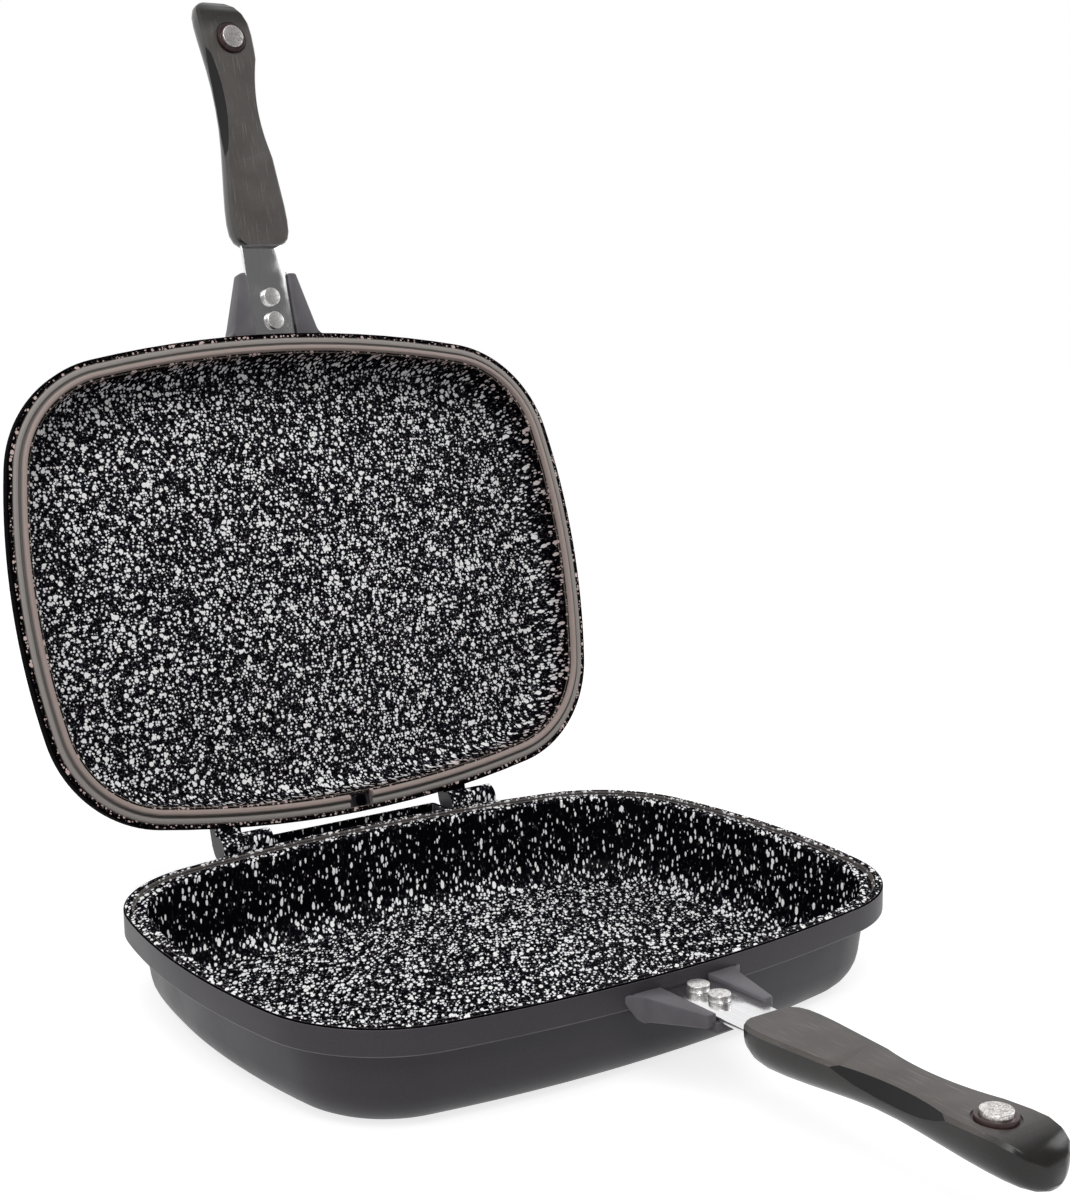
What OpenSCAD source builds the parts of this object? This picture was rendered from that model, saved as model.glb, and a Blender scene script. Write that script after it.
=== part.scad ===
// Double sided flip pan: two cast pans joined at the back by a slide-off hinge, each with a
// riveted steel strap and a moulded grip whose end magnet holds the pair shut.
// Frame: origin on the resting plane under the middle of the lower pan, +Z up, handles
// towards -Y, hinge towards +Y. All sizes are millimetres. The upper half is drawn closed
// and then turned open about the hinge pins.

/* [Rim outline] */
// Width of both rims, left to right
rim_w = 320; // [280:1:360]
// Depth of both rims, front to back
rim_d = 247; // [216:1:280]
// How flat the four sides are: a larger number gives flatter sides
side_flatness = 5; // [4:0.5:7]
// Radius of the rim corners
corner_r = 61; // [52:1:75]

/* [Walls] */
// Wall thickness of both castings
wall_t = 3.4; // [2.4:0.1:4.5]
// Floor thickness of both castings
floor_t = 4.5; // [3:0.1:6]
// Draft of the walls from the vertical, in degrees
draft = 7.6; // [4:0.1:12]
// Distance from the rim edge to the outside of the wall under the rim
wall_inset = 8; // [6:0.1:10]
// Rounding of sharp casting edges
edge_r = 0.8; // [0.3:0.1:1.2]

/* [Lower pan] */
// Height of the lower pan from its base to its lip
low_h = 47; // [40:0.5:60]
// Height of the rim band of the lower pan
low_band_h = 11.5; // [9:0.5:14]
// Thickness of the hanging skirt of that band
skirt_t = 3; // [2:0.1:4]
// Thickness of the flange at the top of that band
flange_t = 5; // [4:0.1:6]
// Width of the raised outer lip
lip_w = 4.3; // [3:0.1:4.8]
// Height of the lip above the inner ledge
lip_step = 1.8; // [1.2:0.1:2.4]
// Outside radius between wall and base
low_base_r = 19; // [14:0.5:22]
// Inside radius between wall and floor
low_inner_r = 15; // [10:0.5:18]
// Rounding of the inner edge of the ledge
ledge_r = 2.2; // [1:0.1:3]

/* [Upper pan] */
// Height of the upper pan from its lip to its back
up_h = 28; // [24:0.5:40]
// Height of the rim band of the upper pan
up_band_h = 6.2; // [5.2:0.1:8]
// Outside radius between wall and back
up_base_r = 14; // [10:0.5:16]
// Inside radius between wall and floor
up_inner_r = 11; // [8:0.5:13]
// Gap between the two lips when shut
lip_gap = 1; // [0.8:0.1:2]
// Angle that the lid stands open at, in degrees from shut
lid_open = 105.5; // [95:0.5:112]

/* [Gasket] */
// Distance from the rim edge to the gasket groove
gasket_inset = 2.8; // [2:0.1:3.2]
// Width of the gasket and its groove
gasket_w = 6.6; // [5.6:0.1:6.8]
// Depth of the gasket groove
gasket_depth = 2.5; // [1.8:0.1:3]
// How far the outer bead stands out of the lip
outer_bead = 0.7; // [0.4:0.1:0.7]
// How far the inner bead stands out of the lip
inner_bead = 2.2; // [1.4:0.1:2.4]
// Length of the steam gap between the gasket's two ends
steam_gap = 13; // [8:0.5:20]
// Distance of the steam gap to the right of the middle
steam_gap_x = 1.6; // [-4:0.2:4]
// Width of the end stop that stands in the steam gap
end_stop_w = 6; // [4:0.5:7]

/* [Hinge] */
// Distance of the hinge axis behind the rim edge
hinge_out = 4.5; // [4:0.1:7]
// Outside radius of the hinge barrels
barrel_r = 6; // [5.2:0.1:6.2]
// Diameter of the hinge pins
pin_d = 5; // [4:0.1:6]
// Radial running clearance of a pin in the lid's arm
pin_clearance = 0.06; // [0.02:0.01:0.1]
// Width of each arm of the upper pan
arm_w = 13.5; // [10:0.5:16]
// Width of each knuckle of the lower pan
knuckle_w = 13; // [10:0.5:16]
// Side gap between an arm and its knuckle
hinge_gap = 0.5; // [0.3:0.1:1]
// Distance between the two hinge units
hinge_pitch = 130; // [110:1:150]
// Distance of the hinge pair to the left of the middle
hinge_shift = 0.75; // [0:0.05:2]
// Thickness of material that closes the blind bore of each arm
bore_cap = 2.5; // [1.5:0.1:4]
// Distance behind the rim edge of the flats that stop the lid's heels
stop_out = -1.3; // [-1.3:0.1:-0.3]
// Clearance of a heel from its stop when the lid stands open
stop_clearance = 0.3; // [0.2:0.05:0.4]

/* [Drip channel] */
// Wall and floor thickness of the channel behind the hinge side
channel_t = 2.5; // [2:0.1:3.5]
// Distance of the channel's outer face behind the rim edge
channel_out = 15; // [12:0.5:18]
// Distance of the channel's top edge below the lower lip
channel_drop = 0.8; // [0.4:0.1:2]
// Height of the channel's outer wall
channel_h = 9.2; // [7:0.1:11]
// Gap between the channel's ends and the hinge parts
channel_gap = 1; // [0.5:0.1:2]

/* [Handle bracket] */
// Width of the steel strap
strap_w = 23; // [20:0.5:26]
// Thickness of the steel strap
strap_t = 2; // [1.5:0.1:3]
// Distance from the parting plane to the face of the strap
strap_drop = 7.4; // [6.8:0.1:9]
// Side clearance of the strap between the ribs
strap_clearance = 0.6; // [0.3:0.1:1]
// How far the ribs reach out from the rim edge
rib_reach = 33; // [28:0.5:40]
// Width of a rib at its tip
rib_tip_w = 4.5; // [3:0.1:6]
// Width of a rib at the rim
rib_root_w = 13; // [9:0.1:16]
// Height of a rib at its tip
rib_tip_h = 5.2; // [4:0.1:6]
// Height of a rib at the wall
rib_root_h = 17; // [12:0.5:17]
// How far a rib stands above the strap's face
rib_rise = 1.6; // [0.5:0.1:3]
// Thickness of the seat under the strap
seat_t = 4; // [3:0.1:5]

/* [Rivets] */
// Diameter of a rivet's head
rivet_head_d = 9.2; // [8:0.1:10.4]
// Height of a rivet's head
rivet_head_h = 3; // [2:0.1:4]
// Diameter of a rivet's shank
rivet_d = 5; // [4:0.1:6]
// Diameter of the formed head under the seat
rivet_tail_d = 8; // [7:0.1:9]
// Height of the formed head under the seat
rivet_tail_h = 1.5; // [1:0.1:2.5]
// Distance of the first rivet from the rim edge
rivet_out = 8; // [7:0.1:10]
// Distance between the two rivets
rivet_pitch = 12.5; // [11:0.1:14]

/* [Grip] */
// Distance of the grip's front end from the rim edge
grip_out = 47.5; // [43:0.5:55]
// Length of the grip
grip_l = 132.5; // [118:0.5:146]
// Half width of the grip near its front end
grip_half_w = 16.3; // [15.2:0.1:17.6]
// Depth of the grip near its front end
grip_depth = 17.3; // [15:0.1:19]
// Distance from the parting plane to the flat face of the grip
grip_drop = 3.8; // [3.5:0.1:4.2]
// Half width of the face between the two side scoops
waist_half_w = 8.9; // [8.2:0.1:9.8]
// Radius of the ball that cuts each side scoop
scoop_r = 108; // [80:1:140]
// Height of that ball's centre above the face
scoop_lift = 49; // [35:1:60]
// Distance of the scoops from the grip's front end
scoop_out = 74; // [66:0.5:80]
// How far the end of the lower grip leans to the right, and of the upper one to the left
tip_lean = 3.8; // [0:0.2:6]
// Width of the strap's tang inside the grip
tang_w = 11; // [9:0.5:12]
// Depth of the strap's full width inside the grip
strap_socket = 16; // [10:0.5:22]

/* [Magnets] */
// Diameter of a magnet
magnet_d = 11.6; // [10:0.1:12.6]
// Thickness of a magnet
magnet_t = 4; // [3.6:0.1:4.2]
// How far a magnet stands out of the grip's face
magnet_rise = 3.1; // [2.8:0.1:3.3]
// Distance of the magnet from the end of the grip
magnet_from_tip = 22.5; // [20:0.5:25]
// Outside diameter of the collar round a magnet
collar_d = 15.1; // [14.2:0.1:16.2]
// How far the collar stands out of the grip's face
collar_rise = 1.2; // [0.6:0.1:1.6]
// Width of the shallow moat round the collar
moat_w = 1; // [0.5:0.1:1.4]
// Depth of that moat
moat_depth = 0.8; // [0.4:0.1:1.2]
// Diameter of the grip screw
screw_d = 3.9; // [3:0.1:4.5]
// Diameter of the grip screw's head
screw_head_d = 7; // [6:0.1:7.6]
// Height of the grip screw's head
screw_head_h = 1.8; // [1.4:0.1:1.9]
// Length of the grip screw below its head
screw_l = 10; // [8:0.5:11]

/* [Hidden] */
$fn = 240;

coating_grey = "#2b2a2e";
phenolic_black = "#262427";
silicone_grey = "#7b716d";
steel_grey = "#b9bbbd";
nickel_grey = "#cfd0d2";
collar_black = "#1c1b1d";

snug = 0.05;
cut = 1;
axis_gap = 1;
core_lap = 2;
tie_depth = 0.3;
tie_lap = 1;
bend_steps = 8;
head_bite = 0.5;
half_w = rim_w / 2;
half_d = rim_d / 2;
parting_z = low_h + lip_gap / 2;
up_lip_z = low_h + lip_gap;
ledge_z = low_h - lip_step;
wall_span = wall_t / cos(draft);

// ---- rim outline: eight tangent arcs ----
// The arcs meet on lines that rise and run by whole numbers of the same step, so that the
// joints between them have short exact coordinates.
rise = 2 * side_flatness + 1;
run = 2 * side_flatness * (side_flatness + 1);
slant = run + 1;

function tidy(x) = round(x * 1000) / 1000;
function bow(span, other) = tidy((rise * (span - corner_r) - (other - corner_r)) / (rise^2 - 1));
long_bow = bow(half_w, half_d);
short_bow = bow(half_d, half_w);
corner_centre = rise * [long_bow, short_bow];
long_centre = [0, corner_centre.y - run * long_bow];
short_centre = [corner_centre.x - run * short_bow, 0];
long_side_r = slant * long_bow + corner_r;
short_side_r = slant * short_bow + corner_r;

// Distance from the middle of the pan to its back edge at a given x
function edge_y(x, inset = 0) =
    long_centre.y + sqrt((long_side_r - inset)^2 - x^2);

function arc_points(centre, r, from, to) = [
    for (i = [0:bend_steps])
        let (a = from + (to - from) * i / bend_steps)
        centre + r * [cos(a), sin(a)]
];

// ---- hinge ----
hinge_y = half_d + hinge_out;
hinge_left_x = -hinge_pitch / 2 - hinge_shift;
hinge_right_x = hinge_pitch / 2 - hinge_shift;
stop_y = half_d + stop_out;
stop_drop = 4.5;
stop_h = 5.5;
stop_top_z = parting_z - stop_drop;
heel_t = 6.5;
heel_raise = 0.5;
hinge_bite = 0.8;
// Where the flat web behind each barrel starts: [behind the axis, in from the barrel's line]
knuckle_tangent = [1, 0.1];
arm_tangent = [1.5, 0.2];
web_rise = 0.5;
web_drop = 0.6;
knuckle_nick = 0.2;
arm_nick = 0.6;
arm_lift = 0.3;
arm_shoulder = 2;
groove_cover = 0.4;

// Where a hinge part between two values of x grows out of the curved rim edge
function hinge_root(from, to) = edge_y(max(abs(from), abs(to))) - hinge_bite;

// ---- handle ----
strap_gap = 0.7;
tang_taper = 6;
seat_lip = 1.5;
screw_tip_gap = 0.5;
head_gap = 0.1;
strap_start = half_d + strap_gap;
strap_z = parting_z - strap_drop;
seat_z = strap_z - strap_t;
rib_top_z = strap_z + rib_rise;
rib_tip_y = half_d + rib_reach;
rib_inner_x = strap_w / 2 + strap_clearance;
rib_root_x = rib_inner_x + rib_root_w;
// Fillet between a rib's side and the rim: [out from the rib, out from the rim edge]
rib_flare = [[4.5, -0.5], [1.4, 1.2], [-0.6, 4]];
// Knee in a rib's lower edge: distance out from the rim edge and share of the root height
rib_knee_out = 6;
rib_knee_share = 0.62;
wall_root = half_d - wall_inset - wall_span / 2;
rivet_inner_y = half_d + rivet_out;
rivet_outer_y = rivet_inner_y + rivet_pitch;
grip_start = half_d + grip_out;
grip_end = grip_start + grip_l;
grip_face_z = parting_z - grip_drop;
magnet_y = grip_end - magnet_from_tip;
tang_end = magnet_y + tang_w / 2;
collar_base_z = strap_z + screw_head_h + head_gap;
magnet_base_z = grip_face_z + magnet_rise - magnet_t;

// A full turn of a profile of [inset from the rim edge, height], kept inside a wedge
module sweep_arc(points, centre, r, wedge) {
    intersection() {
        translate(centre)
            rotate_extrude()
            polygon([for (p = points) [tidy(r - p.x), tidy(p.y)]]);
        translate([0, 0, -cut])
            linear_extrude(low_h + 2 * cut)
            polygon(wedge);
    }
}

// Moves a counter-clockwise outline inwards by t
function shrunk(points, t) =
    let (n = len(points))
    [for (i = [0:n - 1])
        let (before = points[i] - points[(i + n - 1) % n])
        let (after = points[(i + 1) % n] - points[i])
        let (n1 = [-before.y, before.x] / norm(before))
        let (n2 = [-after.y, after.x] / norm(after))
        points[i] + t * (n1 + n2) / (1 + n1 * n2)];

// Sweeps a profile of [inset from the rim edge, height] round the rim outline. Inside each
// corner a slightly smaller sweep reaches into both neighbours and ties them together.
module sweep_rim(points) {
    far_long = corner_centre + 2 * [rise, run];
    far_short = corner_centre + 2 * [run, rise];
    corner_wedge = [corner_centre, far_short, [far_short.x, far_long.y], far_long];
    for (side = [0, 1]) {
        mirror([0, side, 0])
            sweep_arc(points, long_centre, long_side_r,
                [long_centre, far_long, [-far_long.x, far_long.y]]);
        mirror([side, 0, 0])
            sweep_arc(points, short_centre, short_side_r,
                [short_centre, [far_short.x, -far_short.y], far_short]);
        for (end = [0, 1])
            mirror([side, 0, 0])
            mirror([0, end, 0]) {
                sweep_arc(points, corner_centre, corner_r, corner_wedge);
                sweep_arc(shrunk(points, tie_depth), corner_centre, corner_r,
                    [for (p = corner_wedge) p - [tie_lap, tie_lap]]);
            }
    }
}

// The middle of a pan's floor, out to where the swept rim takes over
module floor_core() {
    core = 2 * [half_w - corner_r + core_lap, half_d - corner_r + core_lap];
    translate([-core.x / 2, -core.y / 2, 0])
        cube([core.x, core.y, floor_t]);
}

// Outline of a pan's wall and floor, as inset from the rim edge and height above the base.
// step_h is the height of the band's lower edge, top_h the height where the wall ends.
function wall_out(step_h, h) = wall_inset + (step_h - h) * tan(draft);
function bend_start(step_h, r) =
    wall_out(step_h, r * (1 - sin(draft))) + r * cos(draft);
function outer_bend(step_h, r) =
    arc_points([bend_start(step_h, r), r], r, 180 + draft, 270);
function inner_bend(step_h, r) =
    let (tangent_h = floor_t + r * (1 - sin(draft)))
    let (centre = [wall_out(step_h, tangent_h) + wall_span + r * cos(draft), floor_t + r])
    arc_points(centre, r, 270, 180 + draft);

low_step = low_h - low_band_h;
low_flange_under = low_h - flange_t;
low_ledge_in = wall_out(low_step, ledge_z - ledge_r) + wall_span;

lower_profile = concat(
    [[edge_r, low_h], [0, low_h - edge_r], [0, low_step], [skirt_t, low_step],
        [skirt_t, low_flange_under], [wall_out(low_step, low_flange_under), low_flange_under]],
    outer_bend(low_step, low_base_r),
    [[corner_r - axis_gap, 0], [corner_r - axis_gap, floor_t]],
    inner_bend(low_step, low_inner_r),
    arc_points([low_ledge_in - ledge_r, ledge_z - ledge_r], ledge_r, 0, 90),
    [[lip_w, ledge_z], [lip_w, low_h - edge_r], [lip_w - edge_r, low_h]]
);

up_step = up_h - up_band_h;
groove_out = gasket_inset + gasket_w;
end_stop_inner = 0.8;
end_stop_outer = 0.4;
end_stop_rise = 0.6;
up_mouth_in = wall_out(up_step, up_h) + wall_span;

// The upper pan's profile is drawn standing on its back, with the lip at the top
upper_profile = concat(
    [[edge_r, up_h], [0, up_h - edge_r], [0, up_step],
        [wall_out(up_step, up_step), up_step]],
    outer_bend(up_step, up_base_r),
    [[corner_r - axis_gap, 0], [corner_r - axis_gap, floor_t]],
    inner_bend(up_step, up_inner_r),
    [[up_mouth_in, up_h], [groove_out, up_h], [groove_out, up_h - gasket_depth],
        [gasket_inset, up_h - gasket_depth], [gasket_inset, up_h]]
);

// Gasket section: flat back in the groove, an outer bead, a valley and a taller inner bead
function gasket_at(share, h) = [gasket_inset + share * gasket_w, up_h + h];
gasket_profile = [
    gasket_at(0, -gasket_depth),
    gasket_at(1, -gasket_depth),
    gasket_at(1, 0.3 * inner_bead),
    gasket_at(0.97, 0.7 * inner_bead),
    gasket_at(0.86, inner_bead),
    gasket_at(0.66, inner_bead),
    gasket_at(0.58, 0.75 * inner_bead),
    gasket_at(0.52, -0.1),
    gasket_at(0.44, -0.4),
    gasket_at(0.36, 0.8 * outer_bead),
    gasket_at(0.19, outer_bead),
    gasket_at(0.06, 0.8 * outer_bead),
    gasket_at(0, 0.4 * outer_bead)
];

// Places something drawn standing on the upper pan's back as it lies when the pan is shut
module turned_over() {
    translate([0, 0, up_lip_z + up_h])
        mirror([0, 0, 1])
        children();
}

// Turns the shut upper half open about the hinge pins
module lid_pose() {
    translate([0, hinge_y, parting_z])
        rotate([-lid_open, 0, 0])
        translate([0, -hinge_y, -parting_z])
        children();
}

// Takes something drawn in place on the open lid back to the shut lid
module unturned() {
    translate([0, hinge_y, parting_z])
        rotate([lid_open, 0, 0])
        translate([0, -hinge_y, -parting_z])
        children();
}

// The upper handle's metal parts are the lower ones, mirrored about the parting plane
module above_parting() {
    translate([0, 0, 2 * parting_z])
        mirror([0, 0, 1])
        children();
}

// The upper grip is the same moulding as the lower one, turned over about its length
module rolled_over() {
    translate([0, 0, 2 * parting_z])
        rotate([0, 180, 0])
        children();
}

module along_x(from, to) {
    translate([from, 0, 0])
        rotate([90, 0, 90])
        linear_extrude(to - from)
        children();
}

module rod_x(from, to, r) {
    translate([from, hinge_y, parting_z])
        rotate([0, 90, 0])
        cylinder(r = r, h = to - from);
}

// ---- handle bracket, drawn for the lower pan with the handle towards -Y ----
module rib(side) {
    mirror([side, 0, 0])
        intersection() {
            translate([0, 0, rib_top_z - rib_root_h])
                linear_extrude(rib_root_h)
                polygon(concat(
                    [[rib_inner_x, -rib_tip_y], [rib_inner_x, -wall_root]],
                    [[rib_root_x + rib_flare[0].x, -wall_root]],
                    [for (p = rib_flare) [rib_root_x + p.x, -half_d - p.y]],
                    [[rib_inner_x + rib_tip_w, -rib_tip_y]]));
            along_x(0, half_w)
                polygon([[-wall_root + cut, rib_top_z],
                    [-rib_tip_y - cut, rib_top_z],
                    [-rib_tip_y - cut, rib_top_z - rib_tip_h],
                    [-half_d - rib_knee_out, rib_top_z - rib_knee_share * rib_root_h],
                    [-half_d + wall_inset, rib_top_z - rib_root_h],
                    [-wall_root + cut, rib_top_z - rib_root_h]]);
        }
}

module strap_seat() {
    translate([-rib_inner_x - cut, -rib_tip_y - seat_lip, seat_z - seat_t])
        cube([2 * (rib_inner_x + cut), rib_tip_y + seat_lip - wall_root, seat_t]);
}

module rivet_holes() {
    for (y = [rivet_inner_y, rivet_outer_y])
        translate([0, -y, seat_z - seat_t - cut])
            cylinder(d = rivet_d + 2 * snug, h = seat_t + strap_t + 2 * cut);
}

module bracket() {
    difference() {
        union() {
            rib(0);
            rib(1);
            strap_seat();
        }
        rivet_holes();
    }
}

// ---- lower pan ----
module knuckle(unit_x) {
    from = unit_x + hinge_gap / 2;
    to = from + knuckle_w;
    root = hinge_root(from, to);
    difference() {
        union() {
            rod_x(from, to, barrel_r);
            along_x(from, to)
                polygon([[root, low_step + web_rise],
                    [hinge_y + knuckle_tangent.x, parting_z - barrel_r + knuckle_tangent.y],
                    [hinge_y, parting_z],
                    [hinge_y - barrel_r + knuckle_nick, low_h - web_drop],
                    [root, low_h - web_drop]]);
        }
        rod_x(unit_x - cut, unit_x + knuckle_w + 2 * cut, pin_d / 2);
    }
}

module heel_stop(unit_x) {
    from = unit_x - hinge_gap / 2 - arm_w;
    root = hinge_root(from, from + arm_w);
    translate([from, root, stop_top_z - stop_h])
        cube([arm_w, stop_y - root, stop_h]);
}

module drip_channel() {
    left = hinge_left_x + hinge_gap / 2 + knuckle_w + channel_gap;
    right = hinge_right_x - hinge_gap / 2 - arm_w - channel_gap;
    front = edge_y(max(-left, right), skirt_t / 2);
    back = half_d + channel_out;
    top = low_h - channel_drop;
    difference() {
        translate([left, front, top - channel_h])
            cube([right - left, back - front, channel_h]);
        translate([left + channel_t, 0, top - channel_h + channel_t])
            cube([right - left - 2 * channel_t, back - channel_t, channel_h]);
    }
}

module lower_pan() {
    color(coating_grey) {
        sweep_rim(lower_profile);
        floor_core();
        bracket();
        for (x = [hinge_left_x, hinge_right_x]) {
            knuckle(x);
            heel_stop(x);
        }
        drip_channel();
    }
}

// ---- upper pan ----
module arm(unit_x) {
    from = unit_x - hinge_gap / 2 - arm_w;
    to = unit_x - hinge_gap / 2;
    root = hinge_root(from, to);
    above_groove = up_lip_z + gasket_depth + groove_cover;
    under = up_lip_z + arm_lift;
    over = up_lip_z + up_band_h;
    difference() {
        union() {
            rod_x(from, to, barrel_r);
            along_x(from, to)
                polygon([[root, under],
                    [hinge_y - barrel_r + arm_nick, under],
                    [hinge_y, parting_z],
                    [hinge_y + arm_tangent.x, parting_z + barrel_r - arm_tangent.y],
                    [hinge_y - arm_shoulder, over],
                    [root - arm_shoulder, over],
                    [root - arm_shoulder, above_groove],
                    [root, above_groove]]);
            unturned()
                translate([from, stop_y + stop_clearance, stop_top_z - stop_h + heel_raise])
                cube([arm_w, heel_t, stop_drop + stop_h - heel_raise]);
        }
        rod_x(from + bore_cap, to + cut, pin_d / 2 + pin_clearance);
    }
}

module end_stop() {
    translate([steam_gap_x - end_stop_w / 2, half_d - groove_out + end_stop_inner,
        up_lip_z - end_stop_rise])
        cube([end_stop_w, gasket_w - end_stop_inner - end_stop_outer,
            gasket_depth + end_stop_rise + tie_depth]);
}

module upper_pan() {
    color(coating_grey)
        lid_pose() {
            turned_over() {
                sweep_rim(upper_profile);
                floor_core();
            }
            above_parting()
                bracket();
            arm(hinge_left_x);
            arm(hinge_right_x);
            end_stop();
        }
}

module gasket() {
    color(silicone_grey)
        lid_pose()
        difference() {
            turned_over()
                sweep_rim(gasket_profile);
            translate([steam_gap_x - steam_gap / 2, half_d - corner_r / 2, up_lip_z - low_h / 2])
                cube([steam_gap, corner_r, low_h]);
        }
}

module hinge_pin(unit_x) {
    color(steel_grey)
        rod_x(unit_x - hinge_gap / 2 - arm_w + bore_cap + hinge_gap,
            unit_x + hinge_gap / 2 + knuckle_w, pin_d / 2);
}

module hinge_pin_left() {
    hinge_pin(hinge_left_x);
}

module hinge_pin_right() {
    hinge_pin(hinge_right_x);
}

// ---- handle pieces, drawn for the lower pan ----
module strap() {
    socket_end = grip_start + strap_socket;
    color(steel_grey)
        difference() {
            translate([0, 0, seat_z])
                linear_extrude(strap_t)
                polygon([[-strap_w / 2, -strap_start],
                    [strap_w / 2, -strap_start],
                    [strap_w / 2, -socket_end],
                    [tang_w / 2, -socket_end - tang_taper],
                    [tang_w / 2, -tang_end],
                    [-tang_w / 2, -tang_end],
                    [-tang_w / 2, -socket_end - tang_taper],
                    [-strap_w / 2, -socket_end]]);
            rivet_holes();
            screw_hole(seat_z - cut, strap_t + 2 * cut);
        }
}

module screw_hole(from_z, h) {
    translate([0, -magnet_y, from_z])
        cylinder(d = screw_d + 2 * snug, h = h);
}

module rivet(y) {
    color(nickel_grey)
        translate([0, -y, seat_z - seat_t - rivet_tail_h]) {
            cylinder(d = rivet_tail_d, h = rivet_tail_h);
            cylinder(d = rivet_d, h = rivet_tail_h + seat_t + strap_t + head_bite);
            translate([0, 0, rivet_tail_h + seat_t + strap_t])
                cylinder(d = rivet_head_d, h = rivet_head_h);
        }
}

// Stations along the grip: [share of the length, share of the half width, share of the depth
// down to the rounded back, share of the depth that the face has fallen away by]
grip_stations = [
    [0, 0.6, 0.55, 0], [0.008, 0.77, 0.7, 0], [0.025, 0.9, 0.84, 0],
    [0.055, 0.98, 0.95, 0], [0.1, 1, 1, 0], [0.16, 0.98, 0.99, 0],
    [0.24, 0.92, 0.95, 0], [0.32, 0.86, 0.89, 0], [0.4, 0.8, 0.84, 0],
    [0.48, 0.765, 0.81, 0], [0.56, 0.76, 0.82, 0], [0.64, 0.78, 0.86, 0],
    [0.72, 0.82, 0.92, 0], [0.79, 0.86, 0.98, 0], [0.85, 0.88, 1.03, 0],
    [0.9, 0.87, 1.07, 0.02], [0.94, 0.81, 1.09, 0.1], [0.97, 0.68, 1.08, 0.22],
    [0.989, 0.47, 1.03, 0.36], [1, 0.22, 0.91, 0.54]
];
section_steps = 9;
section_power = 0.8;
face_edge = 1.4;
face_edge_share = 1 / 3;
lean_from = 0.62;

function lean(share) =
    share < lean_from ? 0 : tip_lean * ((share - lean_from) / (1 - lean_from))^2;

// One closed section: the flat face, softened at both edges, and the rounded back
function grip_section(station) =
    let (w = grip_half_w * station[1])
    let (back = grip_face_z - grip_depth * station[2])
    let (face = grip_face_z - grip_depth * station[3])
    let (edge = min(face_edge, (face - back) * face_edge_share))
    let (mid = lean(station[0]))
    let (y = -grip_start - grip_l * station[0])
    concat(
        [[mid + w - edge, y, face]],
        [for (i = [0:2 * section_steps])
            let (a = 90 * i / section_steps)
            let (x = sign(cos(a)) * abs(cos(a))^section_power)
            let (z = sin(a)^section_power)
            [mid + w * x, y, face - edge - (face - edge - back) * z]],
        [[mid - w + edge, y, face]]
    );

module grip_body() {
    sections = [for (s = grip_stations) grip_section(s)];
    n = len(sections[0]);
    rings = len(sections);
    points = [for (s = sections) each s];
    sides = [for (r = [0:rings - 2], i = [0:n - 1])
        let (a = r * n + i, b = r * n + (i + 1) % n)
        each [[a, a + n, b], [b, a + n, b + n]]];
    front = [for (i = [1:n - 2]) [0, i, i + 1]];
    back = [for (i = [1:n - 2]) [(rings - 1) * n, (rings - 1) * n + i + 1, (rings - 1) * n + i]];
    polyhedron(points = points, faces = concat(sides, front, back), convexity = 6);
}

// A large ball bites a shallow lens out of each edge of the face
module side_scoops() {
    for (side = [-1, 1])
        translate([side * (waist_half_w + sqrt(scoop_r^2 - scoop_lift^2)),
            -grip_start - scoop_out, grip_face_z + scoop_lift])
            sphere(r = scoop_r);
}

module grip() {
    socket_end = grip_start + strap_socket;
    color(phenolic_black)
        difference() {
            grip_body();
            side_scoops();
            translate([0, 0, seat_z])
                linear_extrude(strap_t)
                polygon([[-strap_w / 2 - snug, -grip_start + cut],
                    [strap_w / 2 + snug, -grip_start + cut],
                    [strap_w / 2 + snug, -socket_end],
                    [tang_w / 2 + snug, -socket_end - tang_taper],
                    [tang_w / 2 + snug, -tang_end - snug],
                    [-tang_w / 2 - snug, -tang_end - snug],
                    [-tang_w / 2 - snug, -socket_end - tang_taper],
                    [-strap_w / 2 - snug, -socket_end]]);
            translate([0, -magnet_y, strap_z - cut])
                cylinder(d = screw_head_d + 4 * snug, h = collar_base_z - strap_z + 2 * cut);
            translate([0, -magnet_y, collar_base_z])
                cylinder(d = collar_d + 2 * snug, h = low_h);
            translate([0, -magnet_y, grip_face_z - moat_depth])
                cylinder(d = collar_d + 2 * moat_w, h = low_h);
            screw_hole(strap_z - screw_l - screw_tip_gap, screw_l);
        }
}

module magnet_collar() {
    color(collar_black)
        translate([0, -magnet_y, collar_base_z])
        difference() {
            cylinder(d = collar_d, h = grip_face_z + collar_rise - collar_base_z);
            translate([0, 0, magnet_base_z - collar_base_z])
                cylinder(d = magnet_d + 2 * snug, h = low_h);
        }
}

module magnet() {
    color(nickel_grey)
        translate([0, -magnet_y, magnet_base_z])
        cylinder(d = magnet_d, h = magnet_t);
}

module grip_screw() {
    color(steel_grey)
        translate([0, -magnet_y, strap_z]) {
            cylinder(d = screw_head_d, h = screw_head_h);
            translate([0, 0, -screw_l])
                cylinder(d = screw_d, h = screw_l + head_bite);
        }
}

module lower_strap() {
    strap();
}

module lower_rivet_inner() {
    rivet(rivet_inner_y);
}

module lower_rivet_outer() {
    rivet(rivet_outer_y);
}

module lower_grip() {
    grip();
}

module lower_magnet_collar() {
    magnet_collar();
}

module lower_magnet() {
    magnet();
}

module lower_grip_screw() {
    grip_screw();
}

module upper_strap() {
    lid_pose() above_parting() strap();
}

module upper_rivet_inner() {
    lid_pose() above_parting() rivet(rivet_inner_y);
}

module upper_rivet_outer() {
    lid_pose() above_parting() rivet(rivet_outer_y);
}

module upper_grip() {
    lid_pose() rolled_over() grip();
}

module upper_magnet_collar() {
    lid_pose() above_parting() magnet_collar();
}

module upper_magnet() {
    lid_pose() above_parting() magnet();
}

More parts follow.
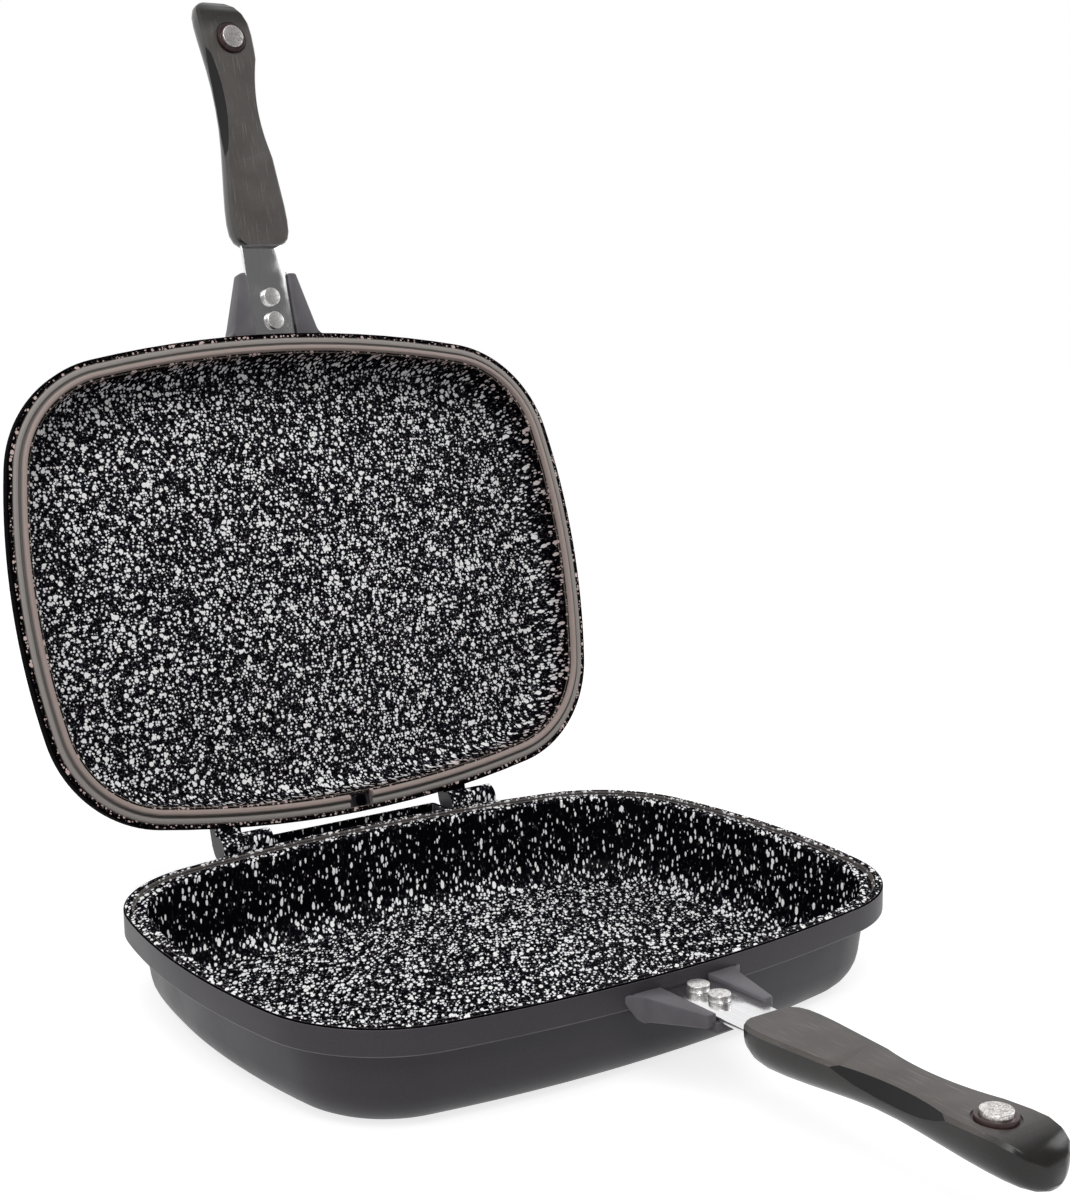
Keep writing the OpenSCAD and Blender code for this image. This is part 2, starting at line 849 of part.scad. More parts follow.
module upper_grip_screw() {
    lid_pose() above_parting() grip_screw();
}

lower_pan();
upper_pan();
gasket();
hinge_pin_left();
hinge_pin_right();
lower_strap();
upper_strap();
lower_rivet_inner();
lower_rivet_outer();
upper_rivet_inner();
upper_rivet_outer();
lower_grip();
upper_grip();
lower_magnet_collar();
upper_magnet_collar();
lower_magnet();
upper_magnet();
lower_grip_screw();
upper_grip_screw();
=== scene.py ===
"""Looks of a double sided flip pan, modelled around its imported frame.

The bench works in millimetres, and finishing a piece brings it to metres. The lower half is
modelled in place. The upper pan is modelled standing on its back, laid shut over the lower half
and turned open about the pins. The upper handle is the lower one, rolled over and turned open.
"""

import logging
import math
from collections.abc import Callable, Iterator, Sequence
from contextlib import contextmanager
from dataclasses import dataclass, field, replace
from enum import Enum

import bmesh
import bpy
from mathutils import Matrix, Vector


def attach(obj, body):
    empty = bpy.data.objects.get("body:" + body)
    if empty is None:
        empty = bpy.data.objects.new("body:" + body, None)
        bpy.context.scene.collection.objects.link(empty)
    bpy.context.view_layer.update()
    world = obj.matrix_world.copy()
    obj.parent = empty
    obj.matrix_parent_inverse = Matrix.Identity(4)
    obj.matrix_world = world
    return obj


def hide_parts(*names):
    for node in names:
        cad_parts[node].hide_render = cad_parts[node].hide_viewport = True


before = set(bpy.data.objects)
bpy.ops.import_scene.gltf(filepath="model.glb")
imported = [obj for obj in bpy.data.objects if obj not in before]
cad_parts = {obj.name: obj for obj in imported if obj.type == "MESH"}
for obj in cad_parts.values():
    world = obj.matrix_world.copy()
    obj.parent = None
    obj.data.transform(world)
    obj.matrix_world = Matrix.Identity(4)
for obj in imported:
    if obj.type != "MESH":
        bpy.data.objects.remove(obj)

LOG = logging.getLogger("flip_pan")
TO_METRES = Matrix.Scale(0.001, 4)
WELD = 0.01  # mm within which two points are merged
CLOSE = 0.001  # mm within which a point is found again
SMOOTH_ANGLE = 32.0  # degrees up to which an edge is shaded smooth
NARROW = 0.35  # mm below which a face is part of an edge's round, drawn lighter partly from rubbing and partly as a painted highlight

Object = bpy.types.Object
Material = bpy.types.Material
Point = tuple[float, float, float]


# ---- the bench: steps that are done by hand in edit mode ----


class Pick(Enum):
    """What a selection is made of."""

    POINTS = "VERT"
    EDGES = "EDGE"
    FACES = "FACE"


class Body(Enum):
    """The two halves that turn about the hinge pins."""

    LOWER = "lower_half"
    UPPER = "upper_half"


def choose(piece: Object) -> None:
    """Makes a piece the active object and the only selected one.

    Args:
        piece: the object that is chosen.
    """
    bpy.ops.object.select_all(action="DESELECT")
    bpy.context.view_layer.objects.active = piece
    piece.select_set(True)


@contextmanager
def editing(piece: Object) -> Iterator[None]:
    """Opens a piece in edit mode with nothing selected, and closes it again.

    Args:
        piece: the mesh object that is worked on.
    """
    choose(piece)
    bpy.ops.object.mode_set(mode="EDIT")
    bpy.ops.mesh.select_mode(type=Pick.POINTS.value)
    bpy.ops.mesh.select_all(action="DESELECT")
    yield
    bpy.ops.object.mode_set(mode="OBJECT")


def pick(what: Pick, test: Callable[[Vector, Vector], bool]) -> None:
    """Selects the points, edges or faces of the open piece that pass a test.

    Args:
        what: the kind of element.
        test: takes an element's middle, and its normal or an edge's direction.
    """
    bpy.ops.mesh.select_mode(type=what.value)
    bpy.ops.mesh.select_all(action="DESELECT")
    data = bpy.context.edit_object.data
    mesh = bmesh.from_edit_mesh(data)
    if what is Pick.POINTS:
        found = [v for v in mesh.verts if test(v.co, v.normal)]
    elif what is Pick.EDGES:
        ends = [(e, e.verts[0].co, e.verts[1].co) for e in mesh.edges]
        found = [e for e, a, b in ends if test((a + b) / 2, (b - a).normalized())]
    else:
        found = [f for f in mesh.faces if test(f.calc_center_median(), f.normal)]
    for element in found:
        element.select_set(True)
    mesh.select_flush_mode()
    bmesh.update_edit_mesh(data)


def named(name: str) -> Object:
    """Names the primitive that was just added and moves its place into its mesh.

    Args:
        name: the new object's name.

    Returns:
        The object, at the origin.
    """
    piece = bpy.context.object
    piece.name = name
    piece.data.name = name
    bpy.ops.object.transform_apply(location=True, rotation=True, scale=True)
    return piece


def rounded(corners: Sequence[Point], closed: bool = False, fineness: float = 11.0) -> list[Vector]:
    """Turns corners into points, with each rounded corner as an arc.

    Args:
        corners: each corner as (x, y, radius).
        closed: whether the last corner is joined to the first one.
        fineness: degrees of turn between two points of an arc.

    Returns:
        The points of the outline, in order.
    """
    points = []
    for index, (x, y, radius) in enumerate(corners):
        here = Vector((x, y))
        if radius == 0 or (not closed and index in (0, len(corners) - 1)):
            points.append(here)
            continue
        back = (Vector(corners[index - 1][:2]) - here).normalized()
        ahead = (Vector(corners[(index + 1) % len(corners)][:2]) - here).normalized()
        half = back.angle(ahead) / 2
        centre = here + (back + ahead).normalized() * (radius / math.sin(half))
        arm = here + back * (radius / math.tan(half)) - centre
        turn = math.copysign(math.pi - 2 * half, back.y * ahead.x - back.x * ahead.y)
        steps = max(2, round(abs(math.degrees(turn)) / fineness))
        points += [centre + Matrix.Rotation(turn * i / steps, 2) @ arm for i in range(steps + 1)]
    return points


def chain(name: str, points: Sequence[Vector]) -> Object:
    """Draws a line of edges by extruding one vertex from point to point.

    Args:
        name: the new object's name.
        points: where the vertex goes, in order.

    Returns:
        The object, which holds the open line.
    """
    bpy.ops.object.select_all(action="DESELECT")
    bpy.ops.mesh.primitive_plane_add(size=1, location=points[0])
    piece = named(name)
    with editing(piece):
        bpy.ops.mesh.select_all(action="SELECT")
        bpy.ops.mesh.merge(type="CENTER")
        for start, end in zip(points, points[1:]):
            bpy.ops.mesh.extrude_vertices_move(TRANSFORM_OT_translate={"value": end - start})
    return piece


def prism(name: str, points: Sequence[Vector], push: Vector) -> Object:
    """Closes and fills an outline and extrudes it.

    Args:
        name: the new object's name.
        points: the outline, in order.
        push: how far and which way the filled outline is extruded.

    Returns:
        The closed piece.
    """
    piece = chain(name, points)
    with editing(piece):
        bpy.ops.mesh.select_all(action="SELECT")
        bpy.ops.mesh.edge_face_add()
        bpy.ops.mesh.extrude_region_move(TRANSFORM_OT_translate={"value": push})
    face_outwards(piece)
    return piece


def face_outwards(piece: Object) -> None:
    """Merges a piece's doubles and turns all its faces outwards.

    Args:
        piece: the closed mesh.
    """
    with editing(piece):
        bpy.ops.mesh.select_all(action="SELECT")
        bpy.ops.mesh.remove_doubles(threshold=WELD)
        bpy.ops.mesh.normals_make_consistent(inside=False)


def block(name: str, low: Vector, high: Vector) -> Object:
    """Adds a box between two corners.

    Args:
        name: the new object's name.
        low: the lowest corner.
        high: the highest corner.

    Returns:
        The box.
    """
    bpy.ops.object.select_all(action="DESELECT")
    bpy.ops.mesh.primitive_cube_add(size=1, location=(low + high) / 2, scale=high - low)
    return named(name)


def rod(name: str, start: Vector, end: Vector, radius: float, sides: int = 64) -> Object:
    """Adds a round rod between two points.

    Args:
        name: the new object's name.
        start: the middle of one end.
        end: the middle of the other end.
        radius: the rod's radius.
        sides: how many flats it is made of.

    Returns:
        The rod.
    """
    way = end - start
    turn = way.to_track_quat("Z", "Y").to_euler()
    bpy.ops.object.select_all(action="DESELECT")
    bpy.ops.mesh.primitive_cylinder_add(
        vertices=sides, radius=radius, depth=way.length, location=(start + end) / 2, rotation=turn)
    return named(name)


def soften(piece: Object, width: float, steps: int = 2,
           where: Callable[[Vector, Vector], bool] | None = None, sharp: float = 30.0) -> None:
    """Rounds the sharp edges of a piece.

    Args:
        piece: the mesh object.
        width: the bevel's width.
        steps: how many faces the round has.
        where: takes an edge's middle and direction, and says whether it is rounded.
        sharp: the least angle of an edge that counts as sharp, in degrees.
    """
    with editing(piece):
        bpy.ops.mesh.select_mode(type=Pick.EDGES.value)
        bpy.ops.mesh.edges_select_sharp(sharpness=math.radians(sharp))
        if where:
            mesh = bmesh.from_edit_mesh(piece.data)
            for edge in mesh.edges:
                a, b = edge.verts[0].co, edge.verts[1].co
                if edge.select and not where((a + b) / 2, (b - a).normalized()):
                    edge.select_set(False)
            bmesh.update_edit_mesh(piece.data)
        bpy.ops.mesh.bevel(offset=width, segments=steps, profile=0.5, affect="EDGES",
                           clamp_overlap=True)


class Join(Enum):
    """How one piece is worked into another."""

    FUSE = "UNION"
    CARVE = "DIFFERENCE"


def work_in(piece: Object, join: Join, *tools: Object) -> None:
    """Fuses pieces to another one, or carves them out of it, and uses them up.

    Args:
        piece: the piece that stays.
        join: whether the others are added or taken away.
        tools: the pieces that are used up.
    """
    for tool in tools:
        choose(piece)
        bpy.ops.object.modifier_add(type="BOOLEAN")
        step = piece.modifiers[-1]
        step.operation = join.value
        step.solver = "EXACT"
        step.object = tool
        bpy.ops.object.modifier_apply(modifier=step.name)
        bpy.data.objects.remove(tool)


def placed(piece: Object, matrix: Matrix) -> Object:
    """Moves a piece's mesh, and turns its faces back outwards after a mirror.

    Args:
        piece: the mesh object.
        matrix: where it goes.

    Returns:
        The same object.
    """
    piece.data.transform(matrix)
    if matrix.is_negative:
        piece.data.flip_normals()
    return piece


def copied(piece: Object, name: str, matrix: Matrix) -> Object:
    """Copies a piece with its own mesh.

    Args:
        piece: the piece that is copied.
        name: the copy's name.
        matrix: where the copy goes.

    Returns:
        The copy.
    """
    twin = piece.copy()
    twin.data = piece.data.copy()
    twin.name = name
    twin.data.name = name
    bpy.context.scene.collection.objects.link(twin)
    return placed(twin, matrix)


def note(piece: Object, name: str, domain: str, values: Sequence[float]) -> None:
    """Writes a value on every point, corner or face of a piece for its material to read.

    Args:
        piece: the mesh object.
        name: the attribute's name.
        domain: POINT, CORNER or FACE.
        values: one value for each.
    """
    attribute = piece.data.attributes.new(name, "FLOAT", domain)
    attribute.data.foreach_set("value", values)


def widths(piece: Object) -> list[float]:
    """Measures how wide each face is across its longest edge.

    Args:
        piece: the mesh object, in millimetres.

    Returns:
        One width for each face. The rounds of sharp edges are the narrow ones.
    """
    mesh = piece.data
    lengths = []
    for face in mesh.polygons:
        corners = [mesh.vertices[i].co for i in face.vertices]
        longest = max((a - b).length for a, b in zip(corners, corners[1:] + corners[:1]))
        lengths.append(face.area / max(longest, WELD))
    return lengths


def finish(piece: Object, body: Body, nodes: Sequence[str],
           materials: Sequence[Material]) -> None:
    """Brings a piece to metres, shades and dresses it and hangs it on its body.

    Args:
        piece: the modelled piece, in millimetres.
        body: the half it moves with.
        nodes: the frame's nodes that it stands for.
        materials: its materials, in the order of its faces' slots.
    """
    # narrow faces of the rounds get a lighter edge colour, partly from rubbing and partly a painted
    # highlight
    if "wear_and_painted_light" not in piece.data.attributes:
        note(piece, "wear_and_painted_light", "FACE", [float(width < NARROW) for width in widths(piece)])
    piece.data.transform(TO_METRES)
    choose(piece)
    bpy.ops.object.shade_smooth_by_angle(angle=math.radians(SMOOTH_ANGLE))
    if len(piece.data.materials) == 0:
        for material in materials:
            piece.data.materials.append(material)
    else:
        for index, material in enumerate(materials):
            piece.data.materials[index] = material
    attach(piece, body.value)
    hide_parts(*nodes)
    LOG.info("%s: %d faces on %s", piece.name, len(piece.data.polygons), body.value)


# ---- finishes ----


def linear(colour: str) -> tuple[float, float, float, float]:
    """Turns an sRGB hex colour to linear values.

    Args:
        colour: the colour as #rrggbb.

    Returns:
        Red, green, blue and alpha.
    """
    shares = [int(colour[i:i + 2], 16) / 255 for i in (1, 3, 5)]
    red, green, blue = (s / 12.92 if s <= 0.04045 else ((s + 0.055) / 1.055) ** 2.4 for s in shares)
    return red, green, blue, 1.0


def add_node(tree: bpy.types.NodeTree, kind: str, inputs: dict | None = None,
             stops: Sequence[tuple[float, str]] = (), **settings: object) -> bpy.types.Node:
    """Adds a node with its settings, values and links.

    Args:
        tree: the material's or world's node tree.
        kind: the node's type.
        inputs: a value, another node or one of its outputs for each input that is set. A node
            stands for its first output in use.
        stops: places and colours of a colour ramp, in order.
        settings: the node's own properties.

    Returns:
        The node.
    """
    node = tree.nodes.new(kind)
    for name, value in settings.items():
        setattr(node, name, value)
    for name, value in (inputs or {}).items():
        if isinstance(value, bpy.types.Node):
            value = next(output for output in value.outputs if output.enabled)
        if isinstance(value, bpy.types.NodeSocket):
            tree.links.new(value, node.inputs[name])
        else:
            node.inputs[name].default_value = value
    for index, (where, colour) in enumerate(stops):
        ramp = node.color_ramp.elements
        stop = ramp[index] if index < 2 else ramp.new(where)
        stop.position, stop.color = where, linear(colour)
    return node


@dataclass(frozen=True)
class Finish:
    """A finish that makes its material once.

    Attributes:
        name: what the material is and how its surface was made.
        turn: how far the piece that wears it stands turned open, in degrees.
        swing: how far the pattern is swung about the upright axis, in degrees.
    """

    name: str
    turn: float = 0.0
    swing: float = 0.0

    def on_lid(self, angle: float) -> "Finish":
        """Returns the same finish for a piece of the open lid."""
        return replace(self, name=f"{self.name} of the lid", turn=angle)

    def material(self) -> Material:
        """Returns the finish's material, which is made the first time."""
        known = bpy.data.materials.get(self.name)
        if known:
            return known
        made = bpy.data.materials.new(self.name)
        made.use_nodes = True
        made.node_tree.nodes.clear()
        shader = self.shade(made.node_tree)
        add_node(made.node_tree, "ShaderNodeOutputMaterial", {"Surface": shader})
        return made

    def shade(self, tree: bpy.types.NodeTree) -> bpy.types.Node:
        """Builds the nodes and returns the shader."""
        raise NotImplementedError

    def place(self, tree: bpy.types.NodeTree, stretch: Point = (1, 1, 1)) -> bpy.types.Node:
        """Gives the place on the piece in millimetres, as the piece lies shut.

        Args:
            tree: the node tree.
            stretch: factors for the three axes, in which a smaller one draws a pattern out.

        Returns:
            The node that holds the place.
        """
        there = add_node(tree, "ShaderNodeTexCoord").outputs["Object"]
        shut = add_node(tree, "ShaderNodeMapping", {
            "Vector": there, "Scale": (1000, 1000, 1000),
            "Rotation": (math.radians(self.turn), 0, math.radians(self.swing))})
        return add_node(tree, "ShaderNodeMapping", {"Vector": shut, "Scale": stretch})


@dataclass(frozen=True)
class SprayedCoating(Finish):
    """Non-stick coating sprayed on die-cast aluminium: pale flakes in a near-black resin.

    The flakes are one to three millimetres wide and lie under the resin, so the eye sees a
    hard salt-and-pepper pattern on a dull black. The flakes have run downwards on the walls,
    and the strokes of the spray gun draw them out on a deep floor.

    Attributes:
        big_pitch: width in millimetres of the cells that hold the big flakes.
        big_size: radius of the largest of them, as a share of the pitch.
        small_pitch: width of the cells that hold the small flakes.
        small_size: radius of the largest of those, as a share of their pitch.
        mist_pitch: size of the specks of spray mist between the flakes.
        run: how the flakes are drawn out downwards, where less is longer.
        stroke: how they are drawn out across the strokes of the gun.
        ragged: how far their outlines stray, in millimetres.
        mist: colours of the resin, from bare to fully misted.
        dull: colour of a small flake.
        bright: colour of a large flake.
        wear_and_painted_light: colour of a sharp edge, partly from rubbing and partly a painted
            highlight.
        rust: tint of the coat where it has baked longest.
        thinning: how much less mist lies where no flakes do.
        baked: how far the coat takes the tint of rust.
        wear_and_painted_light_strength: how far such an edge takes that colour.
    """

    big_pitch: float = 3.2
    big_size: float = 0.43
    small_pitch: float = 1.45
    small_size: float = 0.56
    mist_pitch: float = 1.0
    run: float = 0.38
    stroke: float = 1.0
    ragged: float = 0.45
    mist: tuple[tuple[float, str], ...] = (
        (0.0, "#030206"), (0.53, "#08070b"), (0.61, "#27262c"), (0.69, "#5c5c62"), (0.77, "#9a9aa0"))
    dull: str = "#ececf0"
    bright: str = "#ffffff"
    wear_and_painted_light: str = "#8d857d"
    rust: str = "#c8a59c"
    thinning: float = 0.3
    baked: float = 0.75
    wear_and_painted_light_strength: float = 0.45

    def flakes(self, tree: bpy.types.NodeTree, place: bpy.types.Node, pitch: float,
               size: float, spray: bpy.types.Node) -> tuple[bpy.types.Node, bpy.types.Node]:
        """Scatters one size of flake, each in its own cell.

        Args:
            tree: the node tree.
            place: the place in millimetres.
            pitch: width of a cell in millimetres.
            size: radius of the largest flake, as a share of the pitch.
            spray: how much of its size each flake has here.

        Returns:
            Two nodes: 1 on a flake and 0 beside it, and a chance value for each flake.
        """
        cells = add_node(tree, "ShaderNodeTexVoronoi", {"Vector": place, "Scale": 1 / pitch})
        chance = add_node(tree, "ShaderNodeMapRange", {
            "Value": cells.outputs["Color"], "From Min": 0.25, "From Max": 0.8, "To Max": size})
        radius = add_node(tree, "ShaderNodeMath", {0: chance, 1: spray}, operation="MULTIPLY")
        within = add_node(tree, "ShaderNodeMath", {
            0: radius, 1: cells.outputs["Distance"]}, operation="SUBTRACT")
        flake = add_node(tree, "ShaderNodeMapRange", {
            "Value": within, "From Min": 0.0, "From Max": 0.02})
        return flake, chance

    def shade(self, tree: bpy.types.NodeTree) -> bpy.types.Node:
        """Builds the nodes and returns the shader."""
        plain = self.place(tree, (1, self.stroke, self.run))
        spray, warm, wear_and_painted_light = (
            add_node(tree, "ShaderNodeAttribute", attribute_name=name).outputs["Fac"]
            for name in ("spray", "warm", "wear_and_painted_light"))
        mist = add_node(tree, "ShaderNodeTexNoise", {
            "Vector": plain, "Scale": 1 / self.mist_pitch, "Detail": 1.0})
        stir = add_node(tree, "ShaderNodeVectorMath", {
            0: mist.outputs["Color"], "Scale": self.ragged}, operation="SCALE")
        place = add_node(tree, "ShaderNodeVectorMath", {0: plain, 1: stir}, operation="ADD")
        share = add_node(tree, "ShaderNodeMapRange", {
            "Value": spray, "To Min": 0.55, "To Max": 1.0}, clamp=False)
        big, chance = self.flakes(tree, place, self.big_pitch, self.big_size, share)
        small, _ = self.flakes(tree, place, self.small_pitch, self.small_size, share)
        cover = add_node(tree, "ShaderNodeMath", {0: big, 1: small}, operation="MAXIMUM")
        thin = add_node(tree, "ShaderNodeMath", {
            0: share, 1: self.thinning, 2: -self.thinning}, operation="MULTIPLY_ADD")
        haze = add_node(tree, "ShaderNodeMath", {0: mist, 1: thin}, operation="ADD")
        ground = add_node(tree, "ShaderNodeValToRGB", {"Fac": haze}, self.mist)
        shine = add_node(tree, "ShaderNodeMapRange", {"Value": chance, "From Max": self.big_size})
        flake = add_node(tree, "ShaderNodeMix", {
            "Factor": shine, "A": linear(self.dull), "B": linear(self.bright)},
            data_type="RGBA")
        tone = add_node(tree, "ShaderNodeMix", {
            "Factor": cover, "A": ground,
            "B": flake}, data_type="RGBA")
        warmth = add_node(tree, "ShaderNodeMath", {0: warm, 1: self.baked}, operation="MULTIPLY")
        warmed = add_node(tree, "ShaderNodeMix", {
            "Factor": warmth, "A": tone, "B": linear(self.rust)},
            data_type="RGBA", blend_type="MULTIPLY")
        # sharp edges are drawn lighter, partly from rubbing and partly as a painted highlight
        wear_and_painted_light_mix = add_node(tree, "ShaderNodeMath", {0: wear_and_painted_light, 1: self.wear_and_painted_light_strength}, operation="MULTIPLY")
        colour = add_node(tree, "ShaderNodeMix", {
            "Factor": wear_and_painted_light_mix, "A": warmed, "B": linear(self.wear_and_painted_light)},
            data_type="RGBA")
        gloss = add_node(tree, "ShaderNodeMapRange", {
            "Value": cover, "To Min": 0.34, "To Max": 0.46})
        relief = add_node(tree, "ShaderNodeBump", {
            "Height": cover, "Strength": 0.3, "Distance": 0.0002})
        return add_node(tree, "ShaderNodeBsdfPrincipled", {
            "Base Color": colour, "Roughness": gloss,
            "Specular IOR Level": 0.0, "Coat Weight": 0.03, "Coat Roughness": 0.25,
            "Normal": relief})


@dataclass(frozen=True)
class StovedPaint(Finish):
    """Heat-resistant paint stoved on sand-fine cast aluminium: a satin slate grey.

    The paint levels out to a soft sheen with a grain of half a millimetre. It is drawn lighter
    along the sharp edges of the casting, partly from rubbing and partly as a painted highlight,
    and over the ribs, as painted light for their lit tops.
    """

    grain_size: float = 0.6
    cloud_size: float = 26.0
    dark: str = "#38353a"
    light: str = "#423f44"
    wear_and_painted_light: str = "#7e7b80"

    def shade(self, tree: bpy.types.NodeTree) -> bpy.types.Node:
        """Builds the nodes and returns the shader."""
        place = self.place(tree)
        wear_and_painted_light = add_node(tree, "ShaderNodeAttribute", attribute_name="wear_and_painted_light").outputs["Fac"]
        grain = add_node(tree, "ShaderNodeTexNoise", {
            "Vector": place, "Scale": 1 / self.grain_size, "Detail": 2.0})
        clouds = add_node(tree, "ShaderNodeTexNoise", {
            "Vector": place, "Scale": 1 / self.cloud_size, "Detail": 3.0})
        both = add_node(tree, "ShaderNodeMath", {0: grain, 1: clouds}, operation="ADD")
        share = add_node(tree, "ShaderNodeMapRange", {
            "Value": both, "From Min": 0.7, "From Max": 1.3})
        body = add_node(tree, "ShaderNodeMix", {
            "Factor": share, "A": linear(self.dark), "B": linear(self.light)},
            data_type="RGBA")
        # lighter edges and ribs: rubbing and painted highlight on the edges, painted light on the ribs
        wear_and_painted_light_mix = add_node(tree, "ShaderNodeMath", {0: wear_and_painted_light, 1: clouds}, operation="MULTIPLY")
        colour = add_node(tree, "ShaderNodeMix", {
            "Factor": wear_and_painted_light_mix, "A": body, "B": linear(self.wear_and_painted_light)},
            data_type="RGBA")
        gloss = add_node(tree, "ShaderNodeMapRange", {
            "Value": clouds, "From Min": 0.3, "From Max": 0.7,
            "To Min": 0.36, "To Max": 0.48})
        relief = add_node(tree, "ShaderNodeBump", {
            "Height": grain, "Strength": 0.35, "Distance": 0.0001})
        return add_node(tree, "ShaderNodeBsdfPrincipled", {
            "Base Color": colour, "Roughness": gloss,
            "Specular IOR Level": 0.3, "Normal": relief})


@dataclass(frozen=True)
class MouldedSilicone(Finish):
    """Silicone rubber moulded as a strip: soft grey with a dull bloom.

    Its outer bead is grey and its inner one slightly pink, and the valley between them is
    darkened with painted shade. The skin has a faint orange peel of about a millimetre.
    """

    outer: str = "#9b9591"
    inner: str = "#a99892"
    # colour of the painted shade in the valley
    valley: str = "#565753"
    peel: float = 1.1

    def shade(self, tree: bpy.types.NodeTree) -> bpy.types.Node:
        """Builds the nodes and returns the shader."""
        place = self.place(tree)
        bead, deep = (add_node(tree, "ShaderNodeAttribute", attribute_name=name).outputs["Fac"]
                      for name in ("bead", "deep"))
        bloom = add_node(tree, "ShaderNodeTexNoise", {
            "Vector": place, "Scale": 1 / self.peel, "Detail": 3.0})
        rubber = add_node(tree, "ShaderNodeMix", {
            "Factor": bead, "A": linear(self.outer), "B": linear(self.inner)}, data_type="RGBA")
        # the valley is darkened with painted shade, made uneven by the bloom
        valley_shade_amount = add_node(tree, "ShaderNodeMath", {
            0: bloom, 1: 0.25, 2: deep}, operation="MULTIPLY_ADD")
        valley_shade_share = add_node(tree, "ShaderNodeMapRange", {
            "Value": valley_shade_amount, "From Min": 0.2, "From Max": 1.1, "To Max": 0.85})
        colour = add_node(tree, "ShaderNodeMix", {
            "Factor": valley_shade_share, "A": rubber,
            "B": linear(self.valley)}, data_type="RGBA")
        gloss = add_node(tree, "ShaderNodeMapRange", {
            "Value": bloom, "To Min": 0.38, "To Max": 0.62})
        relief = add_node(tree, "ShaderNodeBump", {
            "Height": bloom, "Strength": 0.25, "Distance": 0.0001})
        return add_node(tree, "ShaderNodeBsdfPrincipled", {
            "Base Color": colour, "Roughness": gloss,
            "Specular IOR Level": 0.4, "Sheen Weight": 0.15, "Sheen Roughness": 0.5,
            "Normal": relief})


@dataclass(frozen=True)
class DrawnMetal(Finish):
    """Metal worked in one direction: polished strip or ground pins.

    Fine lines follow the work and soft smudges dull the mirror, so the metal shows the room
    with streaks in it. The real lines are too fine to show and are drawn a third of a
    millimetre apart.
    """

    dark: str = "#dedee0"
    light: str = "#f7f7f8"
    stretch: Point = (3.0, 0.03, 3.0)
    smudge_size: float = 9.0
    clean: float = 0.08
    smudged: float = 0.22

    def shade(self, tree: bpy.types.NodeTree) -> bpy.types.Node:
        """Builds the nodes and returns the shader."""
        lines = add_node(tree, "ShaderNodeTexNoise", {
            "Vector": self.place(tree, self.stretch), "Scale": 1.0, "Detail": 2.0})
        smudges = add_node(tree, "ShaderNodeTexNoise", {
            "Vector": self.place(tree), "Scale": 1 / self.smudge_size, "Detail": 3.0})
        colour = add_node(tree, "ShaderNodeMix", {
            "Factor": lines, "A": linear(self.dark), "B": linear(self.light)},
            data_type="RGBA")
        gloss = add_node(tree, "ShaderNodeMapRange", {
            "Value": smudges, "From Min": 0.35, "From Max": 0.7,
            "To Min": self.clean, "To Max": self.smudged})
        relief = add_node(tree, "ShaderNodeBump", {
            "Height": lines, "Strength": 0.06, "Distance": 0.0001})
        return add_node(tree, "ShaderNodeBsdfPrincipled", {
            "Base Color": colour, "Metallic": 1.0,
            "Roughness": gloss,
            "Normal": relief})


@dataclass(frozen=True)
class MottledMetal(Finish):
    """Bright metal with a mottled skin: headed aluminium or plated magnet alloy.

    The blows of the heading tool, or the crystals under the plate, leave clouds of brighter
    and duller metal about a millimetre across.
    """

    dark: str = "#b9b5b3"
    light: str = "#f4f2f0"
    mottle: float = 1.3
    swirl: float = 1.2

    def shade(self, tree: bpy.types.NodeTree) -> bpy.types.Node:
        """Builds the nodes and returns the shader."""
        clouds = add_node(tree, "ShaderNodeTexNoise", {
            "Vector": self.place(tree), "Scale": 1 / self.mottle, "Detail": 4.0,
            "Roughness": 0.6, "Distortion": self.swirl})
        share = add_node(tree, "ShaderNodeMapRange", {
            "Value": clouds, "From Min": 0.38, "From Max": 0.58})
        colour = add_node(tree, "ShaderNodeMix", {
            "Factor": share, "A": linear(self.dark), "B": linear(self.light)},
            data_type="RGBA")
        gloss = add_node(tree, "ShaderNodeMapRange", {
            "Value": clouds, "From Min": 0.35, "From Max": 0.65,
            "To Min": 0.48, "To Max": 0.26})
        relief = add_node(tree, "ShaderNodeBump", {
            "Height": clouds, "Strength": 0.3, "Distance": 0.0001})
        return add_node(tree, "ShaderNodeBsdfPrincipled", {
            "Base Color": colour, "Metallic": 1.0,
            "Roughness": gloss,
            "Normal": relief})


